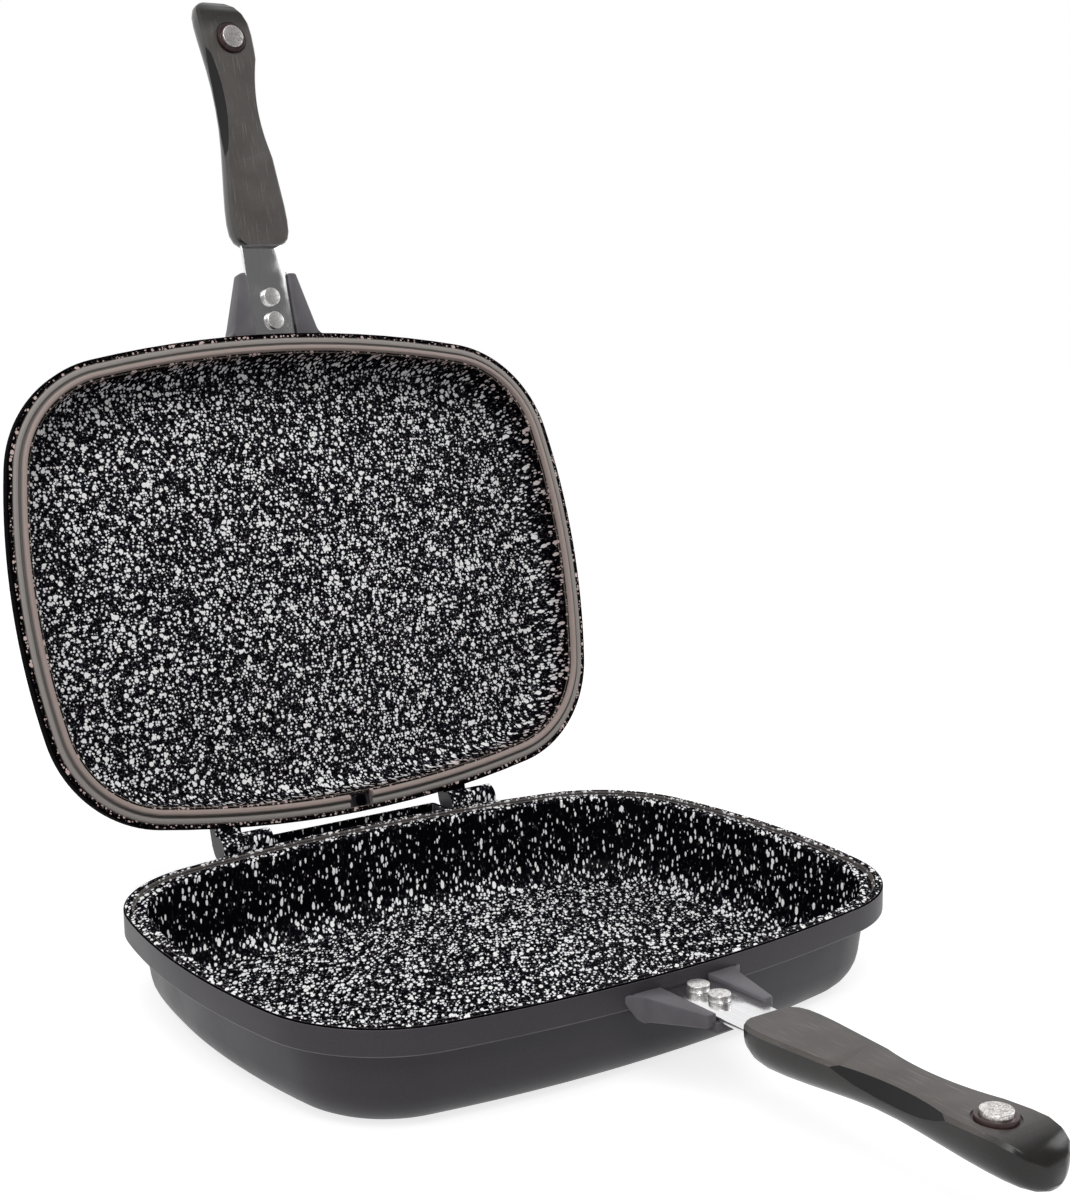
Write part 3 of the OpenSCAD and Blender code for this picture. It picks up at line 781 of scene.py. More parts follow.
@dataclass(frozen=True)
class MouldedPhenolic(Finish):
    """Phenolic resin pressed in a steel mould: a hard near-black plastic.

    The mould is polished round the back, which stays dark and glossy, and left dull on the
    flat face, which is drawn a warm grey with a salt-fine grain and scratches from rubbing.
    That grey is partly the dull finish and partly painted light. The finger recesses and the
    sloping tip are darkened with painted shade, and the recesses' edges are drawn lighter,
    partly from rubbing and partly as a painted highlight.
    """

    glossy: str = "#353332"
    # colour of the dull flat face, lightened with painted light
    matt_face_painted_light: str = "#585452"
    # colour of the painted shade in the finger recesses and on the tip
    hollow: str = "#121011"
    grain_size: float = 0.45
    scratch: Point = (2.2, 0.06, 2.2)
    wear_and_painted_light: str = "#a39c98"
    wear_and_painted_light_strength: float = 0.4

    def shade(self, tree: bpy.types.NodeTree) -> bpy.types.Node:
        """Builds the nodes and returns the shader."""
        place = self.place(tree)
        matt_face_painted_light, wear_and_painted_light, hollow = (
            add_node(tree, "ShaderNodeAttribute", attribute_name=name).outputs["Fac"]
            for name in ("matt_face_painted_light", "wear_and_painted_light", "hollow"))
        grain = add_node(tree, "ShaderNodeTexNoise", {
            "Vector": place, "Scale": 1 / self.grain_size, "Detail": 2.0, "Roughness": 0.7})
        rubs = add_node(tree, "ShaderNodeTexNoise", {
            "Vector": self.place(tree, self.scratch), "Scale": 1.0, "Detail": 1.0})
        clouds = add_node(tree, "ShaderNodeTexNoise", {
            "Vector": place, "Scale": 0.06, "Detail": 2.0})
        speck = add_node(tree, "ShaderNodeMapRange", {
            "Value": grain, "From Min": 0.3, "From Max": 0.7,
            "To Min": 0.84, "To Max": 1.16})
        tired = add_node(tree, "ShaderNodeMapRange", {
            "Value": clouds, "From Min": 0.35, "From Max": 0.65,
            "To Min": 0.88, "To Max": 1.1})
        # the flat face's lighter grey is partly its dull finish and partly painted light
        skin = add_node(tree, "ShaderNodeMix", {
            "Factor": matt_face_painted_light, "A": linear(self.glossy), "B": linear(self.matt_face_painted_light)}, data_type="RGBA")
        # near-black painted shade in the finger recesses and, fainter, on the tip
        body = add_node(tree, "ShaderNodeMix", {
            "Factor": hollow, "A": skin, "B": linear(self.hollow)},
            data_type="RGBA")
        shade = add_node(tree, "ShaderNodeMath", {0: speck, 1: tired}, operation="MULTIPLY")
        grained = add_node(tree, "ShaderNodeVectorMath", {
            0: body, "Scale": shade}, operation="SCALE")
        scratched = add_node(tree, "ShaderNodeMapRange", {
            "Value": rubs, "From Min": 0.64, "From Max": 0.74, "To Max": 0.35})
        marks = add_node(tree, "ShaderNodeMath", {0: scratched, 1: matt_face_painted_light}, operation="MULTIPLY")
        # edges along the recesses are drawn lighter, partly from rubbing and partly as a painted
        # highlight
        edges = add_node(tree, "ShaderNodeMath", {
            0: wear_and_painted_light, 1: self.wear_and_painted_light_strength, 2: marks}, operation="MULTIPLY_ADD")
        colour = add_node(tree, "ShaderNodeMix", {
            "Factor": edges, "A": grained, "B": linear(self.wear_and_painted_light)},
            data_type="RGBA")
        gloss = add_node(tree, "ShaderNodeMapRange", {"Value": matt_face_painted_light, "To Min": 0.22, "To Max": 0.5})
        relief = add_node(tree, "ShaderNodeBump", {
            "Height": grain, "Strength": 0.25, "Distance": 0.0001})
        return add_node(tree, "ShaderNodeBsdfPrincipled", {
            "Base Color": colour, "Roughness": gloss,
            "Specular IOR Level": 0.3, "Normal": relief})


@dataclass(frozen=True)
class MouldedNylon(Finish):
    """Nylon moulded as a small cup: a dark red-brown with a soft wet-looking edge."""

    dark: str = "#2a1b1c"
    light: str = "#4a3335"
    cloud_size: float = 1.6

    def shade(self, tree: bpy.types.NodeTree) -> bpy.types.Node:
        """Builds the nodes and returns the shader."""
        clouds = add_node(tree, "ShaderNodeTexNoise", {
            "Vector": self.place(tree), "Scale": 1 / self.cloud_size, "Detail": 3.0})
        colour = add_node(tree, "ShaderNodeMix", {
            "Factor": clouds, "A": linear(self.dark), "B": linear(self.light)},
            data_type="RGBA")
        relief = add_node(tree, "ShaderNodeBump", {
            "Height": clouds, "Strength": 0.2, "Distance": 0.0001})
        return add_node(tree, "ShaderNodeBsdfPrincipled", {
            "Base Color": colour, "Roughness": 0.34,
            "Specular IOR Level": 0.45, "Normal": relief})


@dataclass(frozen=True)
class SeamlessPaper(Finish):
    """Matt paper under and behind the object: plain white that only a shadow darkens."""

    colour: str = "#b4b4b4"
    glow: float = 0.78
    fibre: float = 0.8

    def shade(self, tree: bpy.types.NodeTree) -> bpy.types.Node:
        """Builds the nodes and returns the shader."""
        fibres = add_node(tree, "ShaderNodeTexNoise", {
            "Vector": self.place(tree), "Scale": self.fibre, "Detail": 2.0})
        relief = add_node(tree, "ShaderNodeBump", {
            "Height": fibres, "Strength": 0.1, "Distance": 0.0001})
        paper = add_node(tree, "ShaderNodeBsdfDiffuse", {
            "Color": linear(self.colour), "Normal": relief})
        level = add_node(tree, "ShaderNodeMath", {
            0: seen_directly(tree), 1: self.glow}, operation="MULTIPLY")
        glow = add_node(tree, "ShaderNodeEmission", {"Color": (1, 1, 1, 1), "Strength": level})
        return add_node(tree, "ShaderNodeAddShader", {0: paper, 1: glow})


def seen_directly(tree: bpy.types.NodeTree) -> bpy.types.Node:
    """Tells whether the camera, a mirror or a glass looks at a surface or at the world.

    Args:
        tree: the node tree.

    Returns:
        The node that is 1 for such a look and 0 for light that falls on the object.
    """
    path = add_node(tree, "ShaderNodeLightPath").outputs
    mirrored = add_node(tree, "ShaderNodeMath", {
        0: path["Is Camera Ray"], 1: path["Is Glossy Ray"]}, operation="MAXIMUM")
    return add_node(tree, "ShaderNodeMath", {
        0: mirrored, 1: path["Is Transmission Ray"]}, operation="MAXIMUM")


# ---- the shape that both pans share ----


@dataclass(frozen=True)
class Rim:
    """Outline of the rims: eight tangent arcs."""

    width: float = 320.0
    depth: float = 247.0
    corner_r: float = 61.0
    side_flatness: float = 5.0
    corner_steps: int = 20
    long_steps: int = 14
    short_steps: int = 16

    @property
    def slope(self) -> tuple[float, float]:
        """Rise and run of the lines on which the arcs meet."""
        return 2 * self.side_flatness + 1, 2 * self.side_flatness * (self.side_flatness + 1)

    def bow(self, span: float, other: float) -> float:
        """How far the corner's centre lies out, in steps of the rise.

        Args:
            span: half the outline's size across this side.
            other: half its size along it.

        Returns:
            The step.
        """
        rise = self.slope[0]
        return (rise * (span - self.corner_r) - (other - self.corner_r)) / (rise ** 2 - 1)

    @property
    def bows(self) -> tuple[float, float]:
        """The steps of the long and the short sides."""
        half_w, half_d = self.width / 2, self.depth / 2
        return self.bow(half_w, half_d), self.bow(half_d, half_w)

    @property
    def corner(self) -> Vector:
        """Centre of the corner at the back right."""
        return Vector(self.bows) * self.slope[0]

    @property
    def long_r(self) -> float:
        """Radius of the front and back sides."""
        return (self.slope[1] + 1) * self.bows[0] + self.corner_r

    @property
    def short_r(self) -> float:
        """Radius of the left and right sides."""
        return (self.slope[1] + 1) * self.bows[1] + self.corner_r

    @property
    def long_y(self) -> float:
        """Height of the back side's centre above the middle, which is negative."""
        return self.corner.y - self.slope[1] * self.bows[0]

    @property
    def short_x(self) -> float:
        """Place of the right side's centre, which is negative."""
        return self.corner.x - self.slope[1] * self.bows[1]

    @property
    def side_turn(self) -> float:
        """Half the angle that a side turns through."""
        return math.atan2(*self.slope)

    def edge_y(self, x: float, inset: float = 0.0) -> float:
        """Distance of the back edge from the middle.

        Args:
            x: the place across the pan.
            inset: how far inside the edge.

        Returns:
            The distance.
        """
        return self.long_y + math.sqrt((self.long_r - inset) ** 2 - x ** 2)

    def inset(self, x: float, y: float) -> float:
        """Distance of a point inside the rim's edge.

        Args:
            x: the point across the pan.
            y: the point along the pan.

        Returns:
            The distance, which is negative outside.
        """
        rise, run = self.slope
        off = Vector((abs(x), abs(y))) - self.corner
        if off.x * run < off.y * rise and off.y > 0:
            return self.long_r - math.hypot(x, abs(y) - self.long_y)
        if off.y * run < off.x * rise and off.x > 0:
            return self.short_r - math.hypot(abs(x) - self.short_x, y)
        if off.x > 0 and off.y > 0:
            return self.corner_r - off.length
        return self.corner_r

    def station(self, inset: float, height: float, turn: float = 0.0) -> Vector:
        """A point of a profile that stands on the back side.

        Args:
            inset: distance inside the rim's edge.
            height: the point's height.
            turn: how far the profile is turned clockwise round the side's centre.

        Returns:
            The point.
        """
        reach = self.long_r - inset
        return Vector((reach * math.sin(turn), self.long_y + reach * math.cos(turn), height))

    def sweep(self, piece: Object, start: float = 0.0, end: float = 0.0) -> None:
        """Spins a profile clockwise round the rim.

        Args:
            piece: the line of edges that stands on the back side.
            start: the angle that it starts at, clockwise from the middle of the back.
            end: the angle short of the middle of the back that it ends at.
        """
        corner, side = self.corner, self.side_turn
        turn = math.pi / 2 - 2 * side
        back, right = (0, self.long_y), (self.short_x, 0)
        front, left = (0, -self.long_y), (-self.short_x, 0)
        stretches = [
            (back, side - start, self.long_steps // 2), ((corner.x, corner.y), turn, self.corner_steps),
            (right, 2 * side, self.short_steps), ((corner.x, -corner.y), turn, self.corner_steps),
            (front, 2 * side, self.long_steps), ((-corner.x, -corner.y), turn, self.corner_steps),
            (left, 2 * side, self.short_steps), ((-corner.x, corner.y), turn, self.corner_steps),
            (back, side - end, self.long_steps // 2),
        ]
        with editing(piece):
            bpy.ops.mesh.select_all(action="SELECT")
            for centre, angle, steps in stretches:
                bpy.ops.mesh.spin(steps=steps, angle=angle, center=(*centre, 0), axis=(0, 0, 1))


@dataclass(frozen=True)
class Walls:
    """Wall sizes that both castings share.

    Attributes:
        wall_t: the wall's thickness.
        floor_t: the floor's thickness.
        draft: how far the wall leans out, in radians.
        inset: how far the wall's top lies inside the rim's edge.
        core: how far inside the edge the profile ends and a flat face fills the middle.
    """

    wall_t: float = 3.4
    floor_t: float = 4.5
    draft: float = math.radians(7.6)
    inset: float = 8.0
    core: float = 60.0

    def outside(self, step: float, height: float) -> float:
        """Inset of the wall's outer face at a height.

        Args:
            step: height of the band's lower edge.
            height: the height above the base.

        Returns:
            The inset from the rim's edge.
        """
        return self.inset + (step - height) * math.tan(self.draft)

    def inside(self, step: float, height: float) -> float:
        """Inset of the wall's inner face at a height."""
        return self.outside(step, height) + self.wall_t / math.cos(self.draft)


def shell(name: str, profile: Sequence[Vector], rim: Rim, walls: Walls) -> Object:
    """Spins a pan's profile round the rim and fills the middle of its base and of its floor.

    Args:
        name: the casting's name.
        profile: the section from the base, round the lip, to the floor.
        rim: the rim's outline.
        walls: the wall sizes.

    Returns:
        The closed shell.
    """
    pan = chain(name, profile)
    rim.sweep(pan)
    face_outwards(pan)
    core = Vector((walls.core, walls.core))
    reach = Vector((rim.width, rim.depth)) / 2 - core + Vector((WELD, WELD))
    for height in (0, walls.floor_t):
        with editing(pan):
            pick(Pick.EDGES, lambda p, d: abs(p.z - height) < WELD
                 and abs(p.x) <= reach.x and abs(p.y) <= reach.y)
            mesh = bmesh.from_edit_mesh(pan.data)
            for edge in mesh.edges:
                if edge.select and not edge.is_boundary:
                    edge.select_set(False)
            bmesh.update_edit_mesh(pan.data)
            bpy.ops.mesh.edge_face_add()
    face_outwards(pan)
    return pan


@dataclass(frozen=True)
class Hinge:
    """Places of the hinge that both halves share.

    Attributes:
        axis: a point of the pins' axis.
        left_x: middle of the left unit, between its arm and its knuckle.
        right_x: middle of the right unit.
        gap: play between an arm and its knuckle.
        barrel_r: radius of the barrels.
        pin_r: radius of the pins.
        press: what the knuckle's bore has over the pin.
        run: what the arm's bore has over the pin.
        arm_w: width of an arm.
        knuckle_w: width of a knuckle.
        bore_cap: metal that closes an arm's bore.
        bite: how far a part of the hinge reaches into the rim.
        open_angle: how far the lid stands open, in degrees.
    """

    axis: Vector = field(default_factory=lambda: Vector((0, 128.0, 47.5)))
    left_x: float = -65.75
    right_x: float = 64.25
    gap: float = 0.5
    barrel_r: float = 6.0
    pin_r: float = 2.5
    press: float = 0.02
    run: float = 0.06
    arm_w: float = 13.5
    knuckle_w: float = 13.0
    bore_cap: float = 2.5
    bite: float = 0.8
    open_angle: float = 105.5

    @property
    def opened(self) -> Matrix:
        """Turns what lies shut open about the pins."""
        about = Matrix.Translation(self.axis)
        return about @ Matrix.Rotation(-math.radians(self.open_angle), 4, "X") @ about.inverted()

    @property
    def rolled(self) -> Matrix:
        """Rolls a part of the lower handle over to its place on the open lid."""
        over = Matrix.Translation((0, 0, 2 * self.axis.z)) @ Matrix.Rotation(math.pi, 4, "Y")
        return self.opened @ over

    def along(self, x: float) -> Vector:
        """The point of the axis at x."""
        return Vector((x, self.axis.y, self.axis.z))

    def root(self, rim: Rim, start: float, end: float) -> float:
        """Where a part of the hinge that reaches from start to end is rooted in the rim."""
        return rim.edge_y(max(abs(start), abs(end))) - self.bite


@dataclass
class Bracket:
    """Two ribs and a seat that carry a strap, drawn for the lower pan.

    Attributes:
        rim: the rim's outline.
        inner_x: half the space between the ribs.
        top_z: height of the ribs' upper edges.
        tip_y: how far from the middle the ribs end.
        tip_w: width of a rib's tip.
        tip_h: height of a rib's tip.
        tip_r: radii of the tip's outer and inner corner.
        root_w: width of a rib at the rim.
        root_h: height of a rib at the wall.
        root_y: how far from the middle a rib starts inside the wall.
        full_in: how far inside the rim's edge a rib reaches its full height.
        knee_out: how far outside the edge a rib's lower edge has its knee.
        knee_share: the rib's height at the knee, as a share of its full height.
        flare: how much wider than the root a rib runs out into the rim.
        flare_h: height of the flare's point.
        flare_in: how deep the flare's point lies inside the rim's edge.
        flare_out: how far outside the edge the flare starts.
        flare_neck: how much narrower than the root the rib is there.
        flare_r: radius of the flare.
        flare_from: how far inside the root's width the flare's underside starts to rise.
        edge_r: width of the rounds along a rib's edges.
        seat_top: height of the seat's face.
        seat_t: thickness of the seat.
        seat_lap: how far the seat reaches into the ribs.
        seat_out: how far the seat stands out past the ribs.
    """

    rim: Rim
    inner_x: float = 12.1
    top_z: float = 41.7
    tip_y: float = 156.5
    tip_w: float = 4.5
    tip_h: float = 5.2
    tip_r: tuple[float, float] = (1.6, 0.8)
    root_w: float = 13.0
    root_h: float = 17.0
    root_y: float = 113.8
    full_in: float = 8.0
    knee_out: float = 6.0
    knee_share: float = 0.62
    flare: float = 4.5
    flare_h: float = 3.0
    flare_in: float = 0.6
    flare_out: float = 1.5
    flare_neck: float = 0.4
    flare_r: float = 6.0
    flare_from: float = 2.0
    edge_r: float = 0.7
    seat_top: float = 38.1
    seat_t: float = 4.0
    seat_lap: float = 1.0
    seat_out: float = 1.5

    def rib(self) -> Object:
        """Models the rib to the right of the strap."""
        edge = self.rim.depth / 2
        out = self.inner_x + self.root_w
        plan = rounded([
            (self.inner_x, -self.root_y, 0), (out + self.flare, -self.root_y, 0),
            (out + self.flare, -edge + self.flare_in, 0),
            (out - self.flare_neck, -edge - self.flare_out, self.flare_r),
            (self.inner_x + self.tip_w, -self.tip_y, self.tip_r[0]),
            (self.inner_x, -self.tip_y, self.tip_r[1]),
        ], closed=True)
        rib = prism("rib", [Vector((p.x, p.y, self.top_z - self.root_h)) for p in plan],
                    Vector((0, 0, self.root_h)))
        with editing(rib):
            low = self.top_z - self.root_h
            knee = -edge - self.knee_out
            heights = [(-self.tip_y, self.tip_h), (knee, self.knee_share * self.root_h),
                       (-edge + self.full_in, self.root_h), (-self.root_y, self.root_h)]
            bpy.ops.mesh.select_all(action="SELECT")
            bpy.ops.mesh.bisect(plane_co=(0, knee, 0), plane_no=(0, 1, 0))
            for y in sorted({round(v.co.y, 4) for v in bmesh.from_edit_mesh(rib.data).verts}):
                h = heights[-1][1]
                for (y0, h0), (y1, h1) in zip(heights, heights[1:]):
                    if y0 <= y <= y1:
                        h = h0 + (h1 - h0) * (y - y0) / (y1 - y0)
                        break
                pick(Pick.POINTS, lambda p, n, y=y: abs(p.y - y) < CLOSE and p.z < low + WELD)
                bpy.ops.transform.translate(value=(0, 0, self.root_h - h))
            under = [v.co.copy() for v in bmesh.from_edit_mesh(rib.data).verts
                     if v.co.x > out - self.flare_from and v.co.z < self.top_z - 1]
            for spot in under:
                pick(Pick.POINTS, lambda p, n, spot=spot: (p - spot).length < CLOSE)
                share = (spot.x - out + self.flare_from) / (self.flare + self.flare_from)
                rise = (self.top_z - spot.z - self.flare_h) * share
                bpy.ops.transform.translate(value=(0, 0, rise))
        soften(rib, self.edge_r, 2, lambda p, d: p.y < -self.root_y - 1)
        with editing(rib):
            bpy.ops.mesh.select_all(action="SELECT")
            bpy.ops.mesh.quads_convert_to_tris()
        face_outwards(rib)
        return rib

    def parts(self) -> list[Object]:
        """Models both ribs and the seat."""
        rib = self.rib()
        twin = copied(rib, "rib", Matrix.Scale(-1, 4, Vector((1, 0, 0))))
        half, low = self.inner_x + self.seat_lap, self.seat_top - self.seat_t
        seat = block("seat", Vector((-half, -self.tip_y - self.seat_out, low)),
                     Vector((half, -self.root_y, self.seat_top)))
        soften(seat, 0.5, 2, lambda p, d: p.y < -self.tip_y)
        return [rib, twin, seat]


@dataclass
class LowerPan:
    """The deeper casting with its knuckles, heel stops and drip channel.

    Attributes:
        rim: the rim's outline.
        walls: the wall sizes.
        hinge: the hinge's places.
        height: height of the lip.
        band_h: height of the rim's band.
        skirt_t: thickness of the band below the flange.
        flange_t: thickness of the flange.
        lip_w: width of the raised lip.
        lip_step: how far the lip stands above the ledge inside it.
        base_r: radius between the base and the wall.
        inner_r: radius between the floor and the wall.
        ledge_r: radius between the wall and the ledge.
        web_z: lowest and highest place of a knuckle's root.
        stop_z: lowest and highest place of the heel stops.
        stop_y: place of the heel stops' faces.
        channel_x: left and right end of the drip channel.
        channel_y: front and back of the drip channel.
        channel_z: underside and top of the drip channel.
        channel_t: thickness of the drip channel's walls.
    """

    rim: Rim
    walls: Walls
    hinge: Hinge
    height: float = 47.0
    band_h: float = 11.5
    skirt_t: float = 3.0
    flange_t: float = 5.0
    lip_w: float = 4.3
    lip_step: float = 1.8
    base_r: float = 19.0
    inner_r: float = 15.0
    ledge_r: float = 2.2
    web_z: tuple[float, float] = (36.0, 46.4)
    stop_z: tuple[float, float] = (37.5, 43.0)
    stop_y: float = 122.2
    channel_x: tuple[float, float] = (-51.5, 49.5)
    channel_y: tuple[float, float] = (119.7, 138.5)
    channel_z: tuple[float, float] = (37.0, 46.2)
    channel_t: float = 2.5

    def profile(self) -> list[Vector]:
        """The section from the middle of the base, round the lip, to the middle of the floor."""
        step, walls = self.height - self.band_h, self.walls
        under, ledge = self.height - self.flange_t, self.height - self.lip_step
        corners = [
            (walls.core, 0, 0), (walls.outside(step, 0), 0, self.base_r),
            (walls.outside(step, under), under, 0.8), (self.skirt_t, under, 0.5),
            (self.skirt_t, step, 0.5), (0, step, 0.6), (0, self.height, 0.8),
            (self.lip_w, self.height, 0.7), (self.lip_w, ledge, 0.5),
            (walls.inside(step, ledge), ledge, self.ledge_r),
            (walls.inside(step, walls.floor_t), walls.floor_t, self.inner_r),
            (walls.core, walls.floor_t, 0),
        ]
        return [self.rim.station(p.x, p.y) for p in rounded(corners)]

    def knuckle(self, unit_x: float) -> Object:
        """Models the fixed half of one hinge unit."""
        axis, r = self.hinge.axis, self.hinge.barrel_r
        start = unit_x + self.hinge.gap / 2
        end = start + self.hinge.knuckle_w
        root = self.hinge.root(self.rim, start, end)
        low, top = self.web_z
        web = rounded([(root, low, 0), (axis.y + 1, axis.z - r + 0.1, 0), (axis.y, axis.z, 0),
                       (axis.y - r + 0.2, top, 0), (root, top, 0)], closed=True)
        knuckle = prism("knuckle", [Vector((start, p.x, p.y)) for p in web],
                        Vector((end - start, 0, 0)))
        work_in(knuckle, Join.FUSE, rod("barrel", self.hinge.along(start), self.hinge.along(end), r))
        bore_r = self.hinge.pin_r + self.hinge.press
        work_in(knuckle, Join.CARVE, rod("bore", self.hinge.along(start - 1),
                                         self.hinge.along(end + 1), bore_r))
        soften(knuckle, 0.5, 2, lambda p, d: abs(d.x) < 0.5 and p.y > root + 0.5
               and math.hypot(p.y - axis.y, p.z - axis.z) > r - 1)
        face_outwards(knuckle)
        return knuckle

    def heel_stop(self, unit_x: float) -> Object:
        """Models the flat that stops the lid's heel."""
        end = unit_x - self.hinge.gap / 2
        start = end - self.hinge.arm_w
        root = self.hinge.root(self.rim, start, end)
        low, top = self.stop_z
        stop = block("heel_stop", Vector((start, root, low)), Vector((end, self.stop_y, top)))
        soften(stop, 0.4, 2, lambda p, d: p.y > root + 0.5)
        return stop

    def channel(self) -> list[Object]:
        """Models the drip channel behind the hinge side as a wall and a floor."""
        left, right = self.channel_x
        front, back = self.channel_y
        low, top = self.channel_z
        t = self.channel_t
        plan = rounded([(left, front, 0), (left + t, front, 0), (left + t, back - t, 1.0),
                        (right - t, back - t, 1.0), (right - t, front, 0), (right, front, 0),
                        (right, back, 2.0), (left, back, 2.0)], closed=True)
        wall = prism("channel_wall", [Vector((p.x, p.y, low)) for p in plan],
                     Vector((0, 0, top - low)))
        soften(wall, 0.5, 2, lambda p, d: p.z > top - WELD and p.y > front + 1, sharp=60)
        base = block("channel_floor", Vector((left + 1, front, low)),
                     Vector((right - 1, back - 1, low + t)))
        return [wall, base]

    def build(self, bracket: Sequence[Object]) -> Object:
        """Models the whole casting.

        Args:
            bracket: the handle bracket's parts.

        Returns:
            The casting.
        """
        pan = shell("lower_pan_casting", self.profile(), self.rim, self.walls)
        work_in(pan, Join.FUSE, *bracket, *self.channel())
        for x in (self.hinge.left_x, self.hinge.right_x):
            work_in(pan, Join.FUSE, self.knuckle(x), self.heel_stop(x))
        return pan


@dataclass
class UpperPan:
    """The shallow casting with its gasket groove, arms and end stop.

    Attributes:
        rim: the rim's outline.
        walls: the wall sizes.
        hinge: the hinge's places.
        height: height of the lip above the pan's back.
        band_h: height of the rim's band.
        base_r: radius between the back and the wall.
        inner_r: radius between the floor and the wall.
        groove_in: how far inside the edge the gasket's groove starts.
        groove_w: width of the groove.
        groove_h: depth of the groove.
        lip_z: height of the lip when the pan lies shut.
        heel_y: front and back of an arm's heel, with the lid open.
        heel_z: lowest and highest place of the heel.
        stop_x: middle of the end stop in the gasket's gap.
        stop_half: half its width.
        stop_y: its ends along the pan, with the lid shut.
        stop_z: its lowest and highest place, with the lid shut.
    """

    rim: Rim
    walls: Walls
    hinge: Hinge
    height: float = 28.0
    band_h: float = 6.2
    base_r: float = 14.0
    inner_r: float = 11.0
    groove_in: float = 2.8
    groove_w: float = 6.6
    groove_h: float = 2.5
    lip_z: float = 48.0
    heel_y: tuple[float, float] = (122.5, 129.0)
    heel_z: tuple[float, float] = (38.0, 47.5)
    stop_x: float = 1.6
    stop_half: float = 3.0
    stop_y: tuple[float, float] = (114.9, 120.3)
    stop_z: tuple[float, float] = (47.4, 50.7)

    @property
    def shut(self) -> Matrix:
        """Lays what stands on its back over the lower pan."""
        return Matrix.Translation((0, 0, self.lip_z + self.height)) @ Matrix.Scale(-1, 4, (0, 0, 1))

    def profile(self) -> list[Vector]:
        """The section from the middle of the back, round the lip, to the middle of the floor."""
        step, walls = self.height - self.band_h, self.walls
        deep, far = self.height - self.groove_h, self.groove_in + self.groove_w
        corners = [
            (walls.core, 0, 0), (walls.outside(step, 0), 0, self.base_r),
            (walls.outside(step, step), step, 0.8), (0, step, 0.6), (0, self.height, 0.8),
            (self.groove_in, self.height, 0.4), (self.groove_in, deep, 0), (far, deep, 0),
            (far, self.height, 0.2), (walls.inside(step, self.height), self.height, 0.4),
            (walls.inside(step, walls.floor_t), walls.floor_t, self.inner_r),
            (walls.core, walls.floor_t, 0),
        ]
        return [self.rim.station(p.x, p.y) for p in rounded(corners)]

    def arm(self, unit_x: float) -> Object:
        """Models the moving half of one hinge unit and its heel."""
        axis, r, up = self.hinge.axis, self.hinge.barrel_r, self.lip_z
        end = unit_x - self.hinge.gap / 2
        start = end - self.hinge.arm_w
        root = self.hinge.root(self.rim, start, end)
        over = up + self.groove_h + 0.4
        web = rounded([
            (root, up + 0.3, 0), (axis.y - r + 0.6, up + 0.3, 0), (axis.y, axis.z, 0),
            (axis.y + 1.5, axis.z + r - 0.2, 0), (axis.y - 2, up + self.band_h, 0),
            (root - 2, up + self.band_h, 0), (root - 2, over, 0), (root, over, 0)], closed=True)
        arm = prism("arm", [Vector((start, p.x, p.y)) for p in web], Vector((end - start, 0, 0)))
        work_in(arm, Join.FUSE, rod("barrel", self.hinge.along(start), self.hinge.along(end), r))
        placed(arm, self.hinge.opened)
        heel = block("heel", Vector((start, self.heel_y[0], self.heel_z[0])),
                     Vector((end, self.heel_y[1], self.heel_z[1])))
        soften(heel, 0.5, 2)
        work_in(arm, Join.FUSE, heel)
        work_in(arm, Join.CARVE, rod("bore", self.hinge.along(start + self.hinge.bore_cap),
                                     self.hinge.along(end + 1), self.hinge.pin_r + self.hinge.run))
        return arm

    def build(self, bracket: Sequence[Object]) -> Object:
        """Models the whole casting, standing open.

        Args:
            bracket: the handle bracket's parts, on the open lid.

        Returns:
            The casting.
        """
        pan = shell("upper_pan_casting", self.profile(), self.rim, self.walls)
        placed(pan, self.hinge.opened @ self.shut)
        work_in(pan, Join.FUSE, *bracket)
        for x in (self.hinge.left_x, self.hinge.right_x):
            work_in(pan, Join.FUSE, self.arm(x))
        stop = block("end_stop",
                     Vector((self.stop_x - self.stop_half, self.stop_y[0], self.stop_z[0])),
                     Vector((self.stop_x + self.stop_half, self.stop_y[1], self.stop_z[1])))
        soften(stop, 0.5, 2)
        work_in(pan, Join.FUSE, placed(stop, self.hinge.opened))
        return pan


